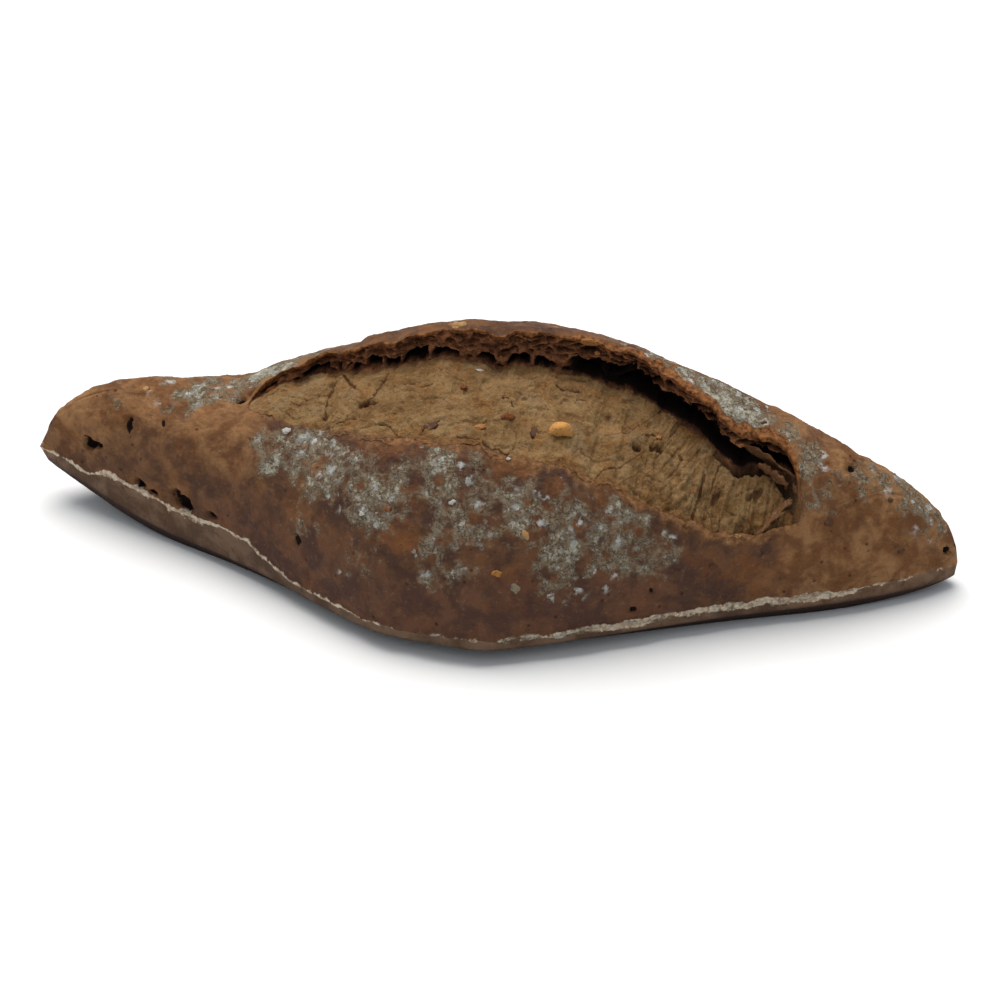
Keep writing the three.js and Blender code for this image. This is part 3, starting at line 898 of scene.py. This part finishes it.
def crust_relief(places, above, spans, slash, skin, dusting):
    """Swelling, wrinkles, pores and flour of the crust, and the crumbly brow of the ear."""
    flank, s = spans["flank"]
    relief = swell(places) + 0.3 * (ridges(places, 2.6) - 0.8) + 0.14 * (ridges(places + 5, 1.1) - 0.8)
    relief -= 0.35 * spots(places, 2.2, 0.12)
    relief += 0.16 * dusting * np.clip(layer(places + 40, 1.6), 0, 1)
    relief *= skin * smooth(0, 2, above) * (1 - 0.95 * flank * smooth(0.9, 1, s))
    crumbly = layer(places * [1, 1, 1.6], 1.3) + layer(places + 8, 0.6)
    return relief + 0.13 * spans["brow"][0] * slash.open * crumbly


def burst_bubbles(places, skin):
    """How deep the burst bubbles and tears are, and where they lie, which is where shade is painted."""
    depth = np.zeros(len(places))
    hole_shade = np.zeros(len(places))
    ragged = 1 + 0.4 * layer(places, 1.4)
    for hole_x, hole_y, hole_z, half_length, half_height, deepest in HOLES:
        off = (places - [hole_x, hole_y, hole_z]) / [half_length, half_height, half_height]
        inside = smooth(1.2, 0.5, np.linalg.norm(off, axis=1) * ragged) * skin
        depth += deepest * inside
        hole_shade = np.maximum(hole_shade, inside)
    return depth, hole_shade


def shape_rim(moved, places, a, rim, heel):
    """Moves the rim: a jagged fin all round, a thin edge at the left tip, and a wavering line."""
    _, y, z = places.T
    fin = 0.4 + 0.6 * layer(rim.along, 7) + 0.25 * layer(rim.along + 30, 2.6)
    moved[:, 1] += np.sign(y) * np.clip(fin, 0, 2) * rim.near * taper(a, RIM_ROUNDING) ** 0.3 * blunt(a)
    moved[:, 0] -= FLANGE * np.exp(-(((rim.above - 0.2) / 0.5) ** 2)) * smooth(-0.955, -0.99, a)
    waver = 0.55 * layer(rim.along + 9, 4.5) + 0.3 * layer(rim.along + 17, 1.5)
    moved[:, 2] += waver * np.exp(-((rim.above / 1.1) ** 2)) * rim.outer
    moved[:, 2] += 0.1 * heel * layer(places, 2) * smooth(0.1, 0.8, z)


def paint_torn_edges(mesh, places, along, spans, slash):
    """The torn edges of the slash, and the toasted fold of crust along its front."""
    flank, s = spans["flank"]
    right = smooth(0.05, 0.35, slash.e)
    cut = 0.4 * spans["edge"][0] + 1.0 * (spans["brow"][0] | spans["inside"][0])
    cut = np.maximum(cut, mix(0.2, 0.55, right) * flank * smooth(0.88, 1, s))
    browned = mix(0.2, 3.2, right) * (1 + 0.6 * layer(along, 2.5))
    cut = np.maximum(cut, spans["back"][0] * smooth(1, 0.2, (places[:, 1] - slash.lip_y) / browned))
    paint(mesh, "cut", cut * slash.parting)
    fold = mix(0.12, 0.3, smooth(0.3, 0.7, slash.e)) * (1 + 0.6 * layer(along + 44, 4))
    toast = flank * smooth(1 - fold, 1, s) * np.interp(slash.e, *zip(*TOAST_DEPTH))
    paint(mesh, "toast", toast * slash.parting)


def paint_flour(mesh, places, a, rim, dusting):
    """Flour on the crust and along the front rim, and the pale line of the rim itself."""
    x, y, _ = places.T
    floury = smooth(-18, 8, x) * smooth(65, 61, x) * smooth(0.9, 0, rim.above)
    floury = floury * smooth(-1.6, -0.5, rim.above) * rim.outer
    floury *= 0.75 + 0.5 * layer(rim.along + 80, 7)
    paint(mesh, "flour", np.maximum(dusting, 1.4 * floury))
    pale = np.interp(a, *zip(*RIM_PALE)) * np.where(y > 0, 0.6, 1)
    band = smooth(-1.7, -0.9, rim.above) * smooth(0.5, 0.1, rim.above) * rim.outer * (y < 0)
    band *= np.interp(a, *zip(*BAND_PALE)) * (0.6 + 0.45 * layer(rim.along + 33, 4))
    paint(mesh, "rim", np.maximum(rim.near * pale, band))


def paint_browning(mesh, places, a, above, skin, behind):
    """Golden ends and crown, and a duller brown low in front and behind."""
    x, _, z = places.T
    left_gold = smooth(-15, -45, x) * mix(0.35, 0.68, smooth(8, 17, z))
    gold = np.maximum(left_gold, smooth(38, 60, x)) + 0.25 * smooth(16, 32, z) + 0.15 * behind
    paint(mesh, "gold", gold)
    low = skin * smooth(15, 3, above) * smooth(-0.75, -0.4, a) * smooth(48, 25, x)
    paint(mesh, "low", np.maximum(low, 0.6 * behind))


def roughen_loaf(mesh, a, spans, slash):
    """Relief, bubbles and a jagged rim on the loaf, and the values that its finish reads."""
    places = vertex_places(mesh)
    normals = vertex_normals(mesh)
    back = spans["back"][0]
    heel = spans["base"][0]
    skin = np.maximum(spans["flank"][0] | back, 1 - slash.parting) * ~heel
    dusting = flour_at(places)
    rim = Rim(places, a)
    bubbles, hole_shade = burst_bubbles(places, skin)
    relief = crust_relief(places, rim.above, spans, slash, skin, dusting) - bubbles
    moved = places + normals * relief[:, None]
    shape_rim(moved, places, a, rim, heel)
    set_places(mesh, moved)
    paint_torn_edges(mesh, places, rim.along, spans, slash)
    paint_flour(mesh, places, a, rim, dusting * skin)
    behind = back * smooth(3, 12, places[:, 1] - slash.lip_y)
    paint_browning(mesh, places, a, rim.above, skin, behind)
    paint(mesh, "heel", heel)
    # The underside of the base near the floor gets painted shade
    paint(mesh, "under", heel * smooth(0.6, -0.6, places[:, 2] - base_height(a)))
    # Burst bubbles and tears get painted shade
    paint(mesh, "hole_shade", hole_shade)
    return moved, normals


# Cracks, below zero, and straps of the crumb: x and share across of each bend, half width and height
CREASES = [
    ([(-26.3, 0.92), (-25.2, 0.95), (-24.1, 0.92), (-22.6, 0.78), (-21.3, 0.62)], 0.3, -1.1),
    ([(-25.1, 0.74), (-25.6, 0.53), (-25.5, 0.38), (-24.8, 0.22)], 0.22, -0.7),
    ([(-18.8, 0.40), (-17.5, 0.52), (-17.6, 0.64), (-16.8, 0.76), (-16.5, 0.90)], 0.3, -0.9),
    ([(-19.4, 0.37), (-18.2, 0.42)], 0.6, -1.3),
    ([(-23.2, 0.14), (-21.2, 0.18), (-19.6, 0.22)], 0.22, -0.5),
    ([(-31.5, 0.40), (-30.2, 0.38), (-28.9, 0.42)], 0.2, -0.45),
    ([(-16.2, 0.20), (-13.7, 0.19), (-12.0, 0.11)], 0.2, -0.4),
    ([(0.0, 0.21), (1.7, 0.28)], 0.22, -0.45),
    ([(3.4, 0.55), (4.2, 0.54)], 0.35, -0.8),
    ([(4.8, 0.51), (5.2, 0.50)], 0.3, -0.7),
    ([(-2.2, 0.06), (1.2, 0.06)], 0.22, -0.5),
    ([(2.1, 0.05), (4.2, 0.06), (6.5, 0.10)], 0.4, -0.9),
    ([(10.8, 0.83), (12.2, 0.80)], 0.35, -0.8),
    ([(14.6, 0.68), (15.9, 0.69)], 0.3, -0.7),
    ([(19.7, 0.05), (20.9, 0.13), (22.5, 0.15)], 0.25, -0.6),
    ([(24.7, 0.44), (25.4, 0.47)], 0.5, -1.1),
    ([(27.0, 0.54), (28.4, 0.55)], 0.55, -1.3),
    ([(25.8, 0.61), (27.1, 0.70)], 0.25, -0.6),
    ([(31.3, 0.64), (31.7, 0.60)], 0.35, -0.8),
    ([(43.0, 0.52), (44.2, 0.60)], 0.9, -0.8),
    ([(35.7, 0.55), (35.3, 0.31), (34.7, 0.09)], 0.25, -0.6),
    ([(37.6, 0.84), (36.9, 0.42)], 0.2, -0.4),
    ([(36.1, 0.97), (35.2, 0.62), (34.5, 0.34), (33.7, 0.16)], 0.4, 0.6),
    ([(32.4, 0.42), (32.1, 0.23), (31.4, 0.04)], 0.8, 0.5),
    ([(39.9, 0.75), (39.2, 0.31), (38.3, 0.06)], 0.4, 0.4),
    ([(42.3, 0.75), (41.9, 0.31), (40.8, 0.04)], 0.4, 0.4),
]


def away_from_line(x, y, knots):
    """Distance in plan from a bent line."""
    nearest = np.full_like(x, 1e3)
    for (start_x, start_y), (end_x, end_y) in zip(knots, knots[1:]):
        run_x = end_x - start_x
        run_y = end_y - start_y
        t = ((x - start_x) * run_x + (y - start_y) * run_y) / (run_x**2 + run_y**2)
        t = np.clip(t, 0, 1)
        nearest = np.minimum(nearest, np.hypot(x - start_x - t * run_x, y - start_y - t * run_y))
    return nearest


def crumb_relief(places, strands, e, s, width):
    """Blisters, pits, cracks and straps, and strands that are coarser towards the right end."""
    x = places[:, 0]
    coarse = smooth(0.2, 0.7, e)
    relief = 0.6 * layer(places + 5, 5) + 0.16 * layer(places, 1.3)
    relief += mix(0.22, 0.42, coarse) * (ridges(strands * [1.6, 1, 1], 1.7) - 0.8)
    relief += 0.12 * layer(places + 90, 0.7)
    relief -= 0.3 * smooth(0.93, 1, ridges(places + 60, 6))
    shaded_pit = 0.9 * spots(strands * [1.5, 1, 1] + 3, 1.5, 0.12)
    shaded_pit = np.maximum(shaded_pit, spots(places + 11, 2.4, 0.06))
    relief -= 0.5 * shaded_pit
    ragged = 1.3 + 1.1 * layer(places, 1.1)
    for knots, half_width, height in CREASES:
        across = [(knot_x, share * width) for knot_x, share in knots]
        line = smooth(1.3, 0.2, away_from_line(x, s * width, across) / half_width * ragged)
        relief += height * line * (0.55 if height < 0 else 1)
        if height < 0:
            shaded_pit = np.maximum(shaded_pit, line)
    return relief, shaded_pit


def cell_depth(places, slash, h):
    """Depth of the torn wall behind the lip: a row of holes over the crumb, and layered webs above."""
    x, _, z = places.T
    right = smooth(0.1, 0.5, slash.e)
    along = places * [1, 0, 0]
    flat = np.stack([x + 0.8 * layer(places, 1.8), z * 1.5 + 0.5 * layer(places + 31, 1.8), 0 * x], 1)
    holes = smooth(0.05, 0.3, cell_walls(flat * [1, 0.6, 1], 3.8))
    webs = smooth(0.04, 0.34, cell_walls(flat * [0.55, 1.2, 1] + 9, 1.9))
    shelf_h = mix(0.42, 0.5, right) + 0.22 * layer(along, 6) + 0.08 * layer(along + 12, 1.6)
    over = smooth(-0.07, 0.07, h - shelf_h)
    lower = mix(4.2, CAVITY_DEPTH - 1, right) * mix(holes, 1, 0.75 * right)
    upper = mix(1.5, 2.6, right) * webs
    edge = 1 - 0.9 * np.exp(-(((h - shelf_h) / 0.05) ** 2)) * mix(1, 0.4, right)
    roof = 1 - smooth(0.84, 0.99, h + 0.15 * layer(along + 3, 1.2))
    sill = smooth(0.0, 0.035, h)
    back_off = 0.5 + 0.6 * layer(places * [1, 0.3, 1] + 21, 3)
    return (mix(lower, upper, over) * edge + np.clip(back_off, 0, 2)) * roof * sill * slash.open


def crumb_strands(places, e):
    """Places stretched along the strands, which turn across the slash towards its right end."""
    turn = mix(0.1, 1.35, smooth(0.3, 0.75, e))
    run = places[:, 0] * np.cos(turn) + places[:, 1] * np.sin(turn)
    beside = places[:, 1] * np.cos(turn) - places[:, 0] * np.sin(turn)
    return np.stack([run * 0.22, beside, places[:, 2] * 0.3], 1)


def crevice(places, slash):
    """The gully between crumb and ear, which widens at the right end of the slash."""
    gap = (slash.lip_y - places[:, 1]) * (1 + 0.35 * layer(places + 50, 1.6))
    blunt_end = smooth(0.84, 0.95, slash.e)
    gully = smooth(mix(1.9, 4.6, blunt_end), mix(0.7, 2.4, blunt_end), gap)
    return gully * smooth(0.62, 0.8, slash.e) * slash.parting


def build_tear():
    """The crumb in the slash and the torn wall of cells under the ear, as one closed body."""
    mesh, e, spans = drawn_sphere("tear", TEAR_COLUMNS, TEAR_STATIONS)
    e = np.clip(e, -NEAR_TIP, NEAR_TIP)
    a = (SLASH_MIDDLE + e * SLASH_HALF) / HALF_LENGTH
    slash = Slash(a)
    y = np.zeros_like(a)
    z = np.zeros_like(a)
    start_y = slash.edge_y - np.clip(0.5 + torn(e, **CRUMB_SPILL), 0.05, 1.5) * slash.open
    start_z = front_height(a, start_y) + CRUMB_LIFT
    top_y = slash.behind(0.7)
    top_z = slash.lip_z - 0.45 * slash.thick * slash.open - 0.2

    crumb, s = spans["crumb"]
    s = np.clip(s, 0, 1)
    rise = CRUMB_RISE * np.sin(math.pi * s) * slash.open
    y[crumb] = mix(start_y, slash.lip_y, s)[crumb]
    z[crumb] = (mix(start_z, slash.low_z, s) + rise)[crumb]

    wall, h = spans["wall"]
    h = np.clip(h, 0, 1)
    y[wall] = mix(slash.lip_y, top_y, h)[wall]
    z[wall] = mix(slash.low_z, top_z, h)[wall]

    inside, s = spans["inside"]
    far_y = slash.behind(CAVITY_DEPTH + TEAR_ROOM)
    floor_z = slash.floor_z + TEAR_FLOOR * slash.open
    inner_y, inner_z = path(s, [
        (0.0, top_y, top_z),
        (0.4, far_y, slash.ear_top(far_y) - 0.5),
        (0.6, far_y, floor_z),
        (0.9, slash.edge_y + TEAR_FLOOR_START * slash.open, floor_z),
        (1.0, start_y, start_z),
    ])
    inner_z = np.where(s < 0.4, slash.ear_top(inner_y) - mix(0.3, 0.5, s / 0.4), inner_z)
    y[inside] = inner_y[inside]
    z[inside] = inner_z[inside]

    places = np.stack([a * HALF_LENGTH, y, z], 1)
    set_places(mesh, places)
    face_outwards(mesh)
    surface = roughen_tear(mesh, places, spans, slash, slash.lip_y - start_y)
    add_piece(mesh, tear_finish())
    return surface


def roughen_tear(mesh, places, spans, slash, width):
    """Relief of the crumb, cells of the torn wall and the crevice, and the values the finish reads."""
    e = slash.e
    normals = vertex_normals(mesh)
    crumb, s = spans["crumb"]
    s = np.clip(s, 0, 1)
    wall, h = spans["wall"]
    h = np.clip(h, 0, 1)
    strands = crumb_strands(places, e)
    relief, shaded_pit = crumb_relief(places, strands, e, s, width)
    on_crumb = crumb * smooth(0, 0.06, s) + wall * smooth(0.2, 0, h)
    depth = cell_depth(places, slash, h) * wall
    gully = crumb * crevice(places, slash)
    moved = places + normals * (relief * on_crumb * slash.open)[:, None]
    moved[:, 2] += swell(places)
    moved[:, 2] -= CREVICE_DEPTH * gully * slash.open
    moved[:, 1] += depth + 0.2 * layer(places + 70, 1.2) * wall * slash.open
    low_roof = slash.ear_top(moved[:, 1]) - CRUST_THICKNESS - 0.1
    under = wall & (depth > 1)
    moved[under, 2] = np.minimum(moved[under, 2], low_roof[under])
    set_places(mesh, moved)

    # Painted shade: the cells go dark with depth, and the crevice and the seam where crumb meets wall go
    # dark too
    dark_at = mix(0.7, 2.2, smooth(0.05, 0.3, h)) * mix(2, 1, smooth(-0.2, 0.2, e))
    seam = wall * smooth(0.1, 0.02, h) + crumb * smooth(0.98, 0.995, s)
    broken = np.clip(0.7 + 0.6 * layer(places + 25, 2.4), 0, 1)
    seam *= broken * slash.parting * mix(0.4, 1, smooth(-0.1, 0.4, e))
    paint(mesh, "deep", np.maximum.reduce([smooth(0.15, 1, depth / dark_at), 0.85 * gully, 0.85 * seam]))
    paint(mesh, "wall", wall + crumb * smooth(0.98, 1, s))
    # Pits and cracks get painted shade
    paint(mesh, "shaded_pit", shaded_pit * on_crumb * crumb)
    paint(mesh, "cut", crumb * smooth(0.14, 0, s) * mix(0.8, 1, smooth(-0.2, 0.4, e)))
    paint(mesh, "fibrous", mix(0.25, 0.9, smooth(0.2, 0.7, e)))
    # Painted shade towards the right end and where the crumb runs under the ear
    paint(mesh, "dusk_shade", 0.3 * smooth(0.3, 0.9, e) + 0.5 * smooth(0.8, 1, s) * crumb)
    kept = mesh.attributes.new("strands", "FLOAT_VECTOR", "POINT")
    kept.data.foreach_set("vector", (strands * MM).ravel())
    return moved, normals


PALE_GRAIN = (0.60, 0.29, 0.080)
TAN_GRAIN = (0.40, 0.23, 0.090)
AMBER_GRAIN = (0.36, 0.155, 0.045)
PURPLE_SEED = (0.090, 0.042, 0.024)
RED_SEED = (0.160, 0.045, 0.012)
FLOUR_CHIP = (0.48, 0.47, 0.43)
DUSTY_CHIP = (0.235, 0.190, 0.130)
SHRED = (0.150, 0.070, 0.029)
# Grains and chips that show: carrier, x, y, z, length, width, height, turn and tint
GRAINS = [
    ("tear", 13.3, -16.7, 28.6, 3.9, 3.4, 4.4, 0.3, PALE_GRAIN),
    ("loaf", -5.8, -2.0, 37.8, 3.0, 1.6, 0.7, 0.1, TAN_GRAIN),
    ("loaf", 15.2, -2.6, 36.9, 2.8, 1.5, 0.8, 0.1, AMBER_GRAIN),
    ("tear", -7.0, -18.7, 29.4, 3.0, 2.4, 0.35, 0.9, PURPLE_SEED),
    ("tear", 4.8, -15.7, 30.2, 2.0, 1.4, 1.0, 0.3, RED_SEED),
    ("tear", 9.3, -17.5, 29.2, 1.5, 2.4, 0.4, 0.2, PURPLE_SEED),
    ("tear", 0.7, -18.0, 29.6, 2.2, 1.1, 0.6, 0.4, AMBER_GRAIN),
    ("tear", -1.6, -5.9, 32.0, 1.2, 0.6, 0.2, 0.3, FLOUR_CHIP),
    ("loaf", -31.0, -14.6, 23.3, 1.9, 1.0, 0.2, 0.2, FLOUR_CHIP),
    ("loaf", -25.9, -17.8, 23.7, 1.5, 1.1, 0.15, 0.9, FLOUR_CHIP),
    ("loaf", 6.4, -23.3, 27.4, 1.1, 0.7, 0.2, 1.2, FLOUR_CHIP),
    ("loaf", 6.4, -34.0, 13.0, 1.7, 1.1, 0.35, 0.3, AMBER_GRAIN),
    ("loaf", -1.5, -29.0, 21.9, 1.3, 0.7, 0.15, 0.5, FLOUR_CHIP),
    ("loaf", -15.9, -29.0, 18.4, 1.1, 0.8, 0.15, 0.1, FLOUR_CHIP),
    ("loaf", -11.6, -29.6, 20.0, 1.3, 1.0, 0.6, 0.2, RED_SEED),
    ("loaf", 9.6, -34.1, 10.7, 1.7, 1.6, 0.15, 0.0, DUSTY_CHIP),
    ("tear", -36.0, -4.6, 24.6, 2.0, 1.0, 0.9, 0.4, RED_SEED),
]
# More of the same, spread by seed: carrier, count, smallest and largest length, and tint
SPREAD = [
    ("loaf", 6, 0.8, 1.6, TAN_GRAIN),
    ("loaf", 8, 0.8, 1.6, PURPLE_SEED),
    ("tear", 10, 0.5, 1.2, RED_SEED),
    ("tear", 6, 0.5, 1.2, AMBER_GRAIN),
]
GRAIN_SEED = 5
# Height of a spread grain by its length, and how far every grain stands proud
FLAT_GRAIN = 0.22
GRAIN_PROUD = 0.03
# Torn shreds of crust at the right end of the slash
SHREDS = [
    dict(
        knots=[(40.6, -6.6, 24.2), (43.7, -7.6, 22.9), (46.4, -8.8, 22.0), (49.6, -10.4, 21.2)],
        across=(0.2, -0.6, 0.7), half_width=1.5, thickness=0.2,
    ),
    dict(
        knots=[(43.6, -8.9, 22.0), (45.8, -9.8, 21.2), (48.6, -11.4, 20.2)],
        across=(0.3, -0.4, 0.8), half_width=1.2, thickness=0.2,
    ),
    dict(
        knots=[(48.8, -12.4, 18.2), (47.2, -14.6, 16.4), (45.1, -17.2, 14.6)],
        across=(0.8, 0.1, 0.6), half_width=2.0, thickness=0.25,
    ),
    dict(
        knots=[(49.2, -10.2, 20.0), (50.6, -12.0, 17.8), (50.8, -14.2, 15.5)],
        across=(0.5, -0.3, 0.8), half_width=0.9, thickness=0.25,
    ),
]


def spread_grains(surfaces, draw):
    """Seeded places for the grains that are too small to place one by one."""
    found = []
    for carrier, count, least, most, tint in SPREAD:
        places, normals = surfaces[carrier]
        seen = np.flatnonzero((normals[:, 2] > 0.1) & (places[:, 2] > 5))
        for k in seen[draw.integers(len(seen), size=count)]:
            length = draw.uniform(least, most)
            turn = draw.uniform(0, math.pi)
            width = length * draw.uniform(0.5, 0.9)
            found.append((carrier, *places[k], length, width, length * FLAT_GRAIN, turn, tint))
    return found


def build_grains(surfaces):
    """Grains, seeds, chips of flour and torn shreds, set into the crust and the crumb."""
    form = bmesh.new()
    tints = []
    spread = spread_grains(surfaces, np.random.default_rng(GRAIN_SEED))
    for carrier, x, y, z, length, width, height, turn, tint in GRAINS + spread:
        places, normals = surfaces[carrier]
        away = np.linalg.norm(places - [x, y, z], axis=1)
        near = np.argsort(away)[:40]
        out = Vector(normals[near].mean(0)).normalized()
        heading = Vector((math.cos(turn), math.sin(turn), 0))
        along = (heading - out * out.dot(heading)).normalized()
        side = out.cross(along)
        place = Vector(places[near[:8]].mean(0))
        made = bmesh.ops.create_icosphere(form, subdivisions=3 if length > 1.8 else 2, radius=1)["verts"]
        for vertex in made:
            lump = 1 + mix(0.9, 0.14, min(height / width, 1)) * noise.noise(vertex.co * 1.9 + place)
            local = vertex.co * lump
            local.y = max(local.y, -0.4) if tint == PALE_GRAIN else local.y
            local.z = max(local.z, -0.3)
            spot = place + along * local.x * length / 2 + side * local.y * width / 2
            vertex.co = spot + out * (local.z * height / 2 + GRAIN_PROUD)
        tints += [tint] * len(made)
    for strip in SHREDS:
        tints += [SHRED] * shred(form, **strip)
    mesh = bpy.data.meshes.new("grains")
    form.to_mesh(mesh)
    form.free()
    face_outwards(mesh)
    colours = np.hstack([np.array(tints), np.ones((len(tints), 1))])
    kept = mesh.attributes.new("tint", "FLOAT_COLOR", "POINT")
    kept.data.foreach_set("color", colours.ravel())
    add_piece(mesh, grain_finish())


def shred(form, knots, across, half_width, thickness):
    """Adds a thin torn strip along its knots, ragged and narrow at its ends, and counts its vertices."""
    before = len(form.verts)
    places = np.array(knots)
    sideways = Vector(across).normalized()
    strip = bmesh.ops.create_grid(form, x_segments=28, y_segments=6, size=0.5)["verts"]
    shares = np.linspace(0, 1, len(places))
    for vertex in strip:
        t = vertex.co.x + 0.5
        v = vertex.co.y * 2
        middle = Vector([np.interp(t, shares, places[:, k]) for k in range(3)])
        ragged = 1 + 1.1 * noise.noise((t * 7, v * 1.2, half_width * 9))
        full = math.sin(math.pi * min(max(t, 0.02), 0.98)) ** 0.6
        reach = half_width * max(ragged, 0.25) * (0.2 + 0.8 * full)
        bend = 0.7 * noise.noise((t * 4 + 4, v * 0.8, half_width * 7))
        vertex.co = middle + sideways * v * reach + Vector((0, -bend, bend * 0.5))
    faces = list({face for vertex in strip for face in vertex.link_faces})
    bmesh.ops.solidify(form, geom=faces, thickness=thickness)
    return len(form.verts) - before


SURFACES = {"loaf": build_loaf(), "tear": build_tear()}
build_grains(SURFACES)

# Stage: a pale floor, an even sky and one soft light from above and behind
FLOOR_SIZE = 3
FLOOR_WHITE = rgb(0.93, 0.93, 0.93)
SKY_TINT = rgb(0.88, 0.94, 1)
SKY_STRENGTH = 0.45
KEY_LIGHT = dict(place=(-0.14, 0.26, 0.85), size=0.8, power=10, colour=(1, 0.97, 0.93))
floor_form = bmesh.new()
bmesh.ops.create_grid(floor_form, x_segments=1, y_segments=1, size=FLOOR_SIZE / 2)
floor_mesh = bpy.data.meshes.new("floor")
floor_form.to_mesh(floor_mesh)
floor_form.free()
floor = bpy.data.objects.new("floor", floor_mesh)
bpy.context.scene.collection.objects.link(floor)
floor_finish = Finish("floor", 0.9)
floor_finish.shader.inputs["Base Color"].default_value = FLOOR_WHITE
floor_mesh.materials.append(floor_finish.material)

world = bpy.data.worlds.new("studio")
bpy.context.scene.world = world
world.use_nodes = True
sky = world.node_tree.nodes["Background"]
sky.inputs["Color"].default_value = SKY_TINT
sky.inputs["Strength"].default_value = SKY_STRENGTH


def soft_light(name, place, size, power, colour):
    lamp = bpy.data.lights.new(name, "AREA")
    lamp.size = size
    lamp.energy = power
    lamp.color = colour
    holder = bpy.data.objects.new(name, lamp)
    holder.location = place
    holder.rotation_euler = (-Vector(place)).to_track_quat("-Z", "Y").to_euler()
    bpy.context.scene.collection.objects.link(holder)


soft_light("key", **KEY_LIGHT)

# Camera at the photograph's view
CAMERA_AZIMUTH = math.radians(10.6)
CAMERA_ELEVATION = math.radians(31.7)
CAMERA_DISTANCE = 0.8
PIXELS_PER_MM = 6.183
FRAME_PIXELS = 1000
SENSOR_MM = 36
TARGET_ALONG = 0.63
TARGET_HEIGHT = 5.06
CAMERA_TARGET = Vector((TARGET_ALONG * MM, SET_DOWN[1] * MM, (TARGET_HEIGHT + SET_DOWN[2]) * MM))
camera_data = bpy.data.cameras.new("camera")
camera_data.sensor_width = SENSOR_MM
camera_data.lens = SENSOR_MM * PIXELS_PER_MM / MM * CAMERA_DISTANCE / FRAME_PIXELS
camera = bpy.data.objects.new("camera", camera_data)
towards = Vector((
    math.sin(CAMERA_AZIMUTH) * math.cos(CAMERA_ELEVATION),
    -math.cos(CAMERA_AZIMUTH) * math.cos(CAMERA_ELEVATION),
    math.sin(CAMERA_ELEVATION),
))
camera.location = CAMERA_TARGET + towards * CAMERA_DISTANCE
camera.rotation_euler = (-towards).to_track_quat("-Z", "Y").to_euler()
bpy.context.scene.collection.objects.link(camera)
bpy.context.scene.camera = camera
bpy.context.scene.view_settings.view_transform = "Standard"
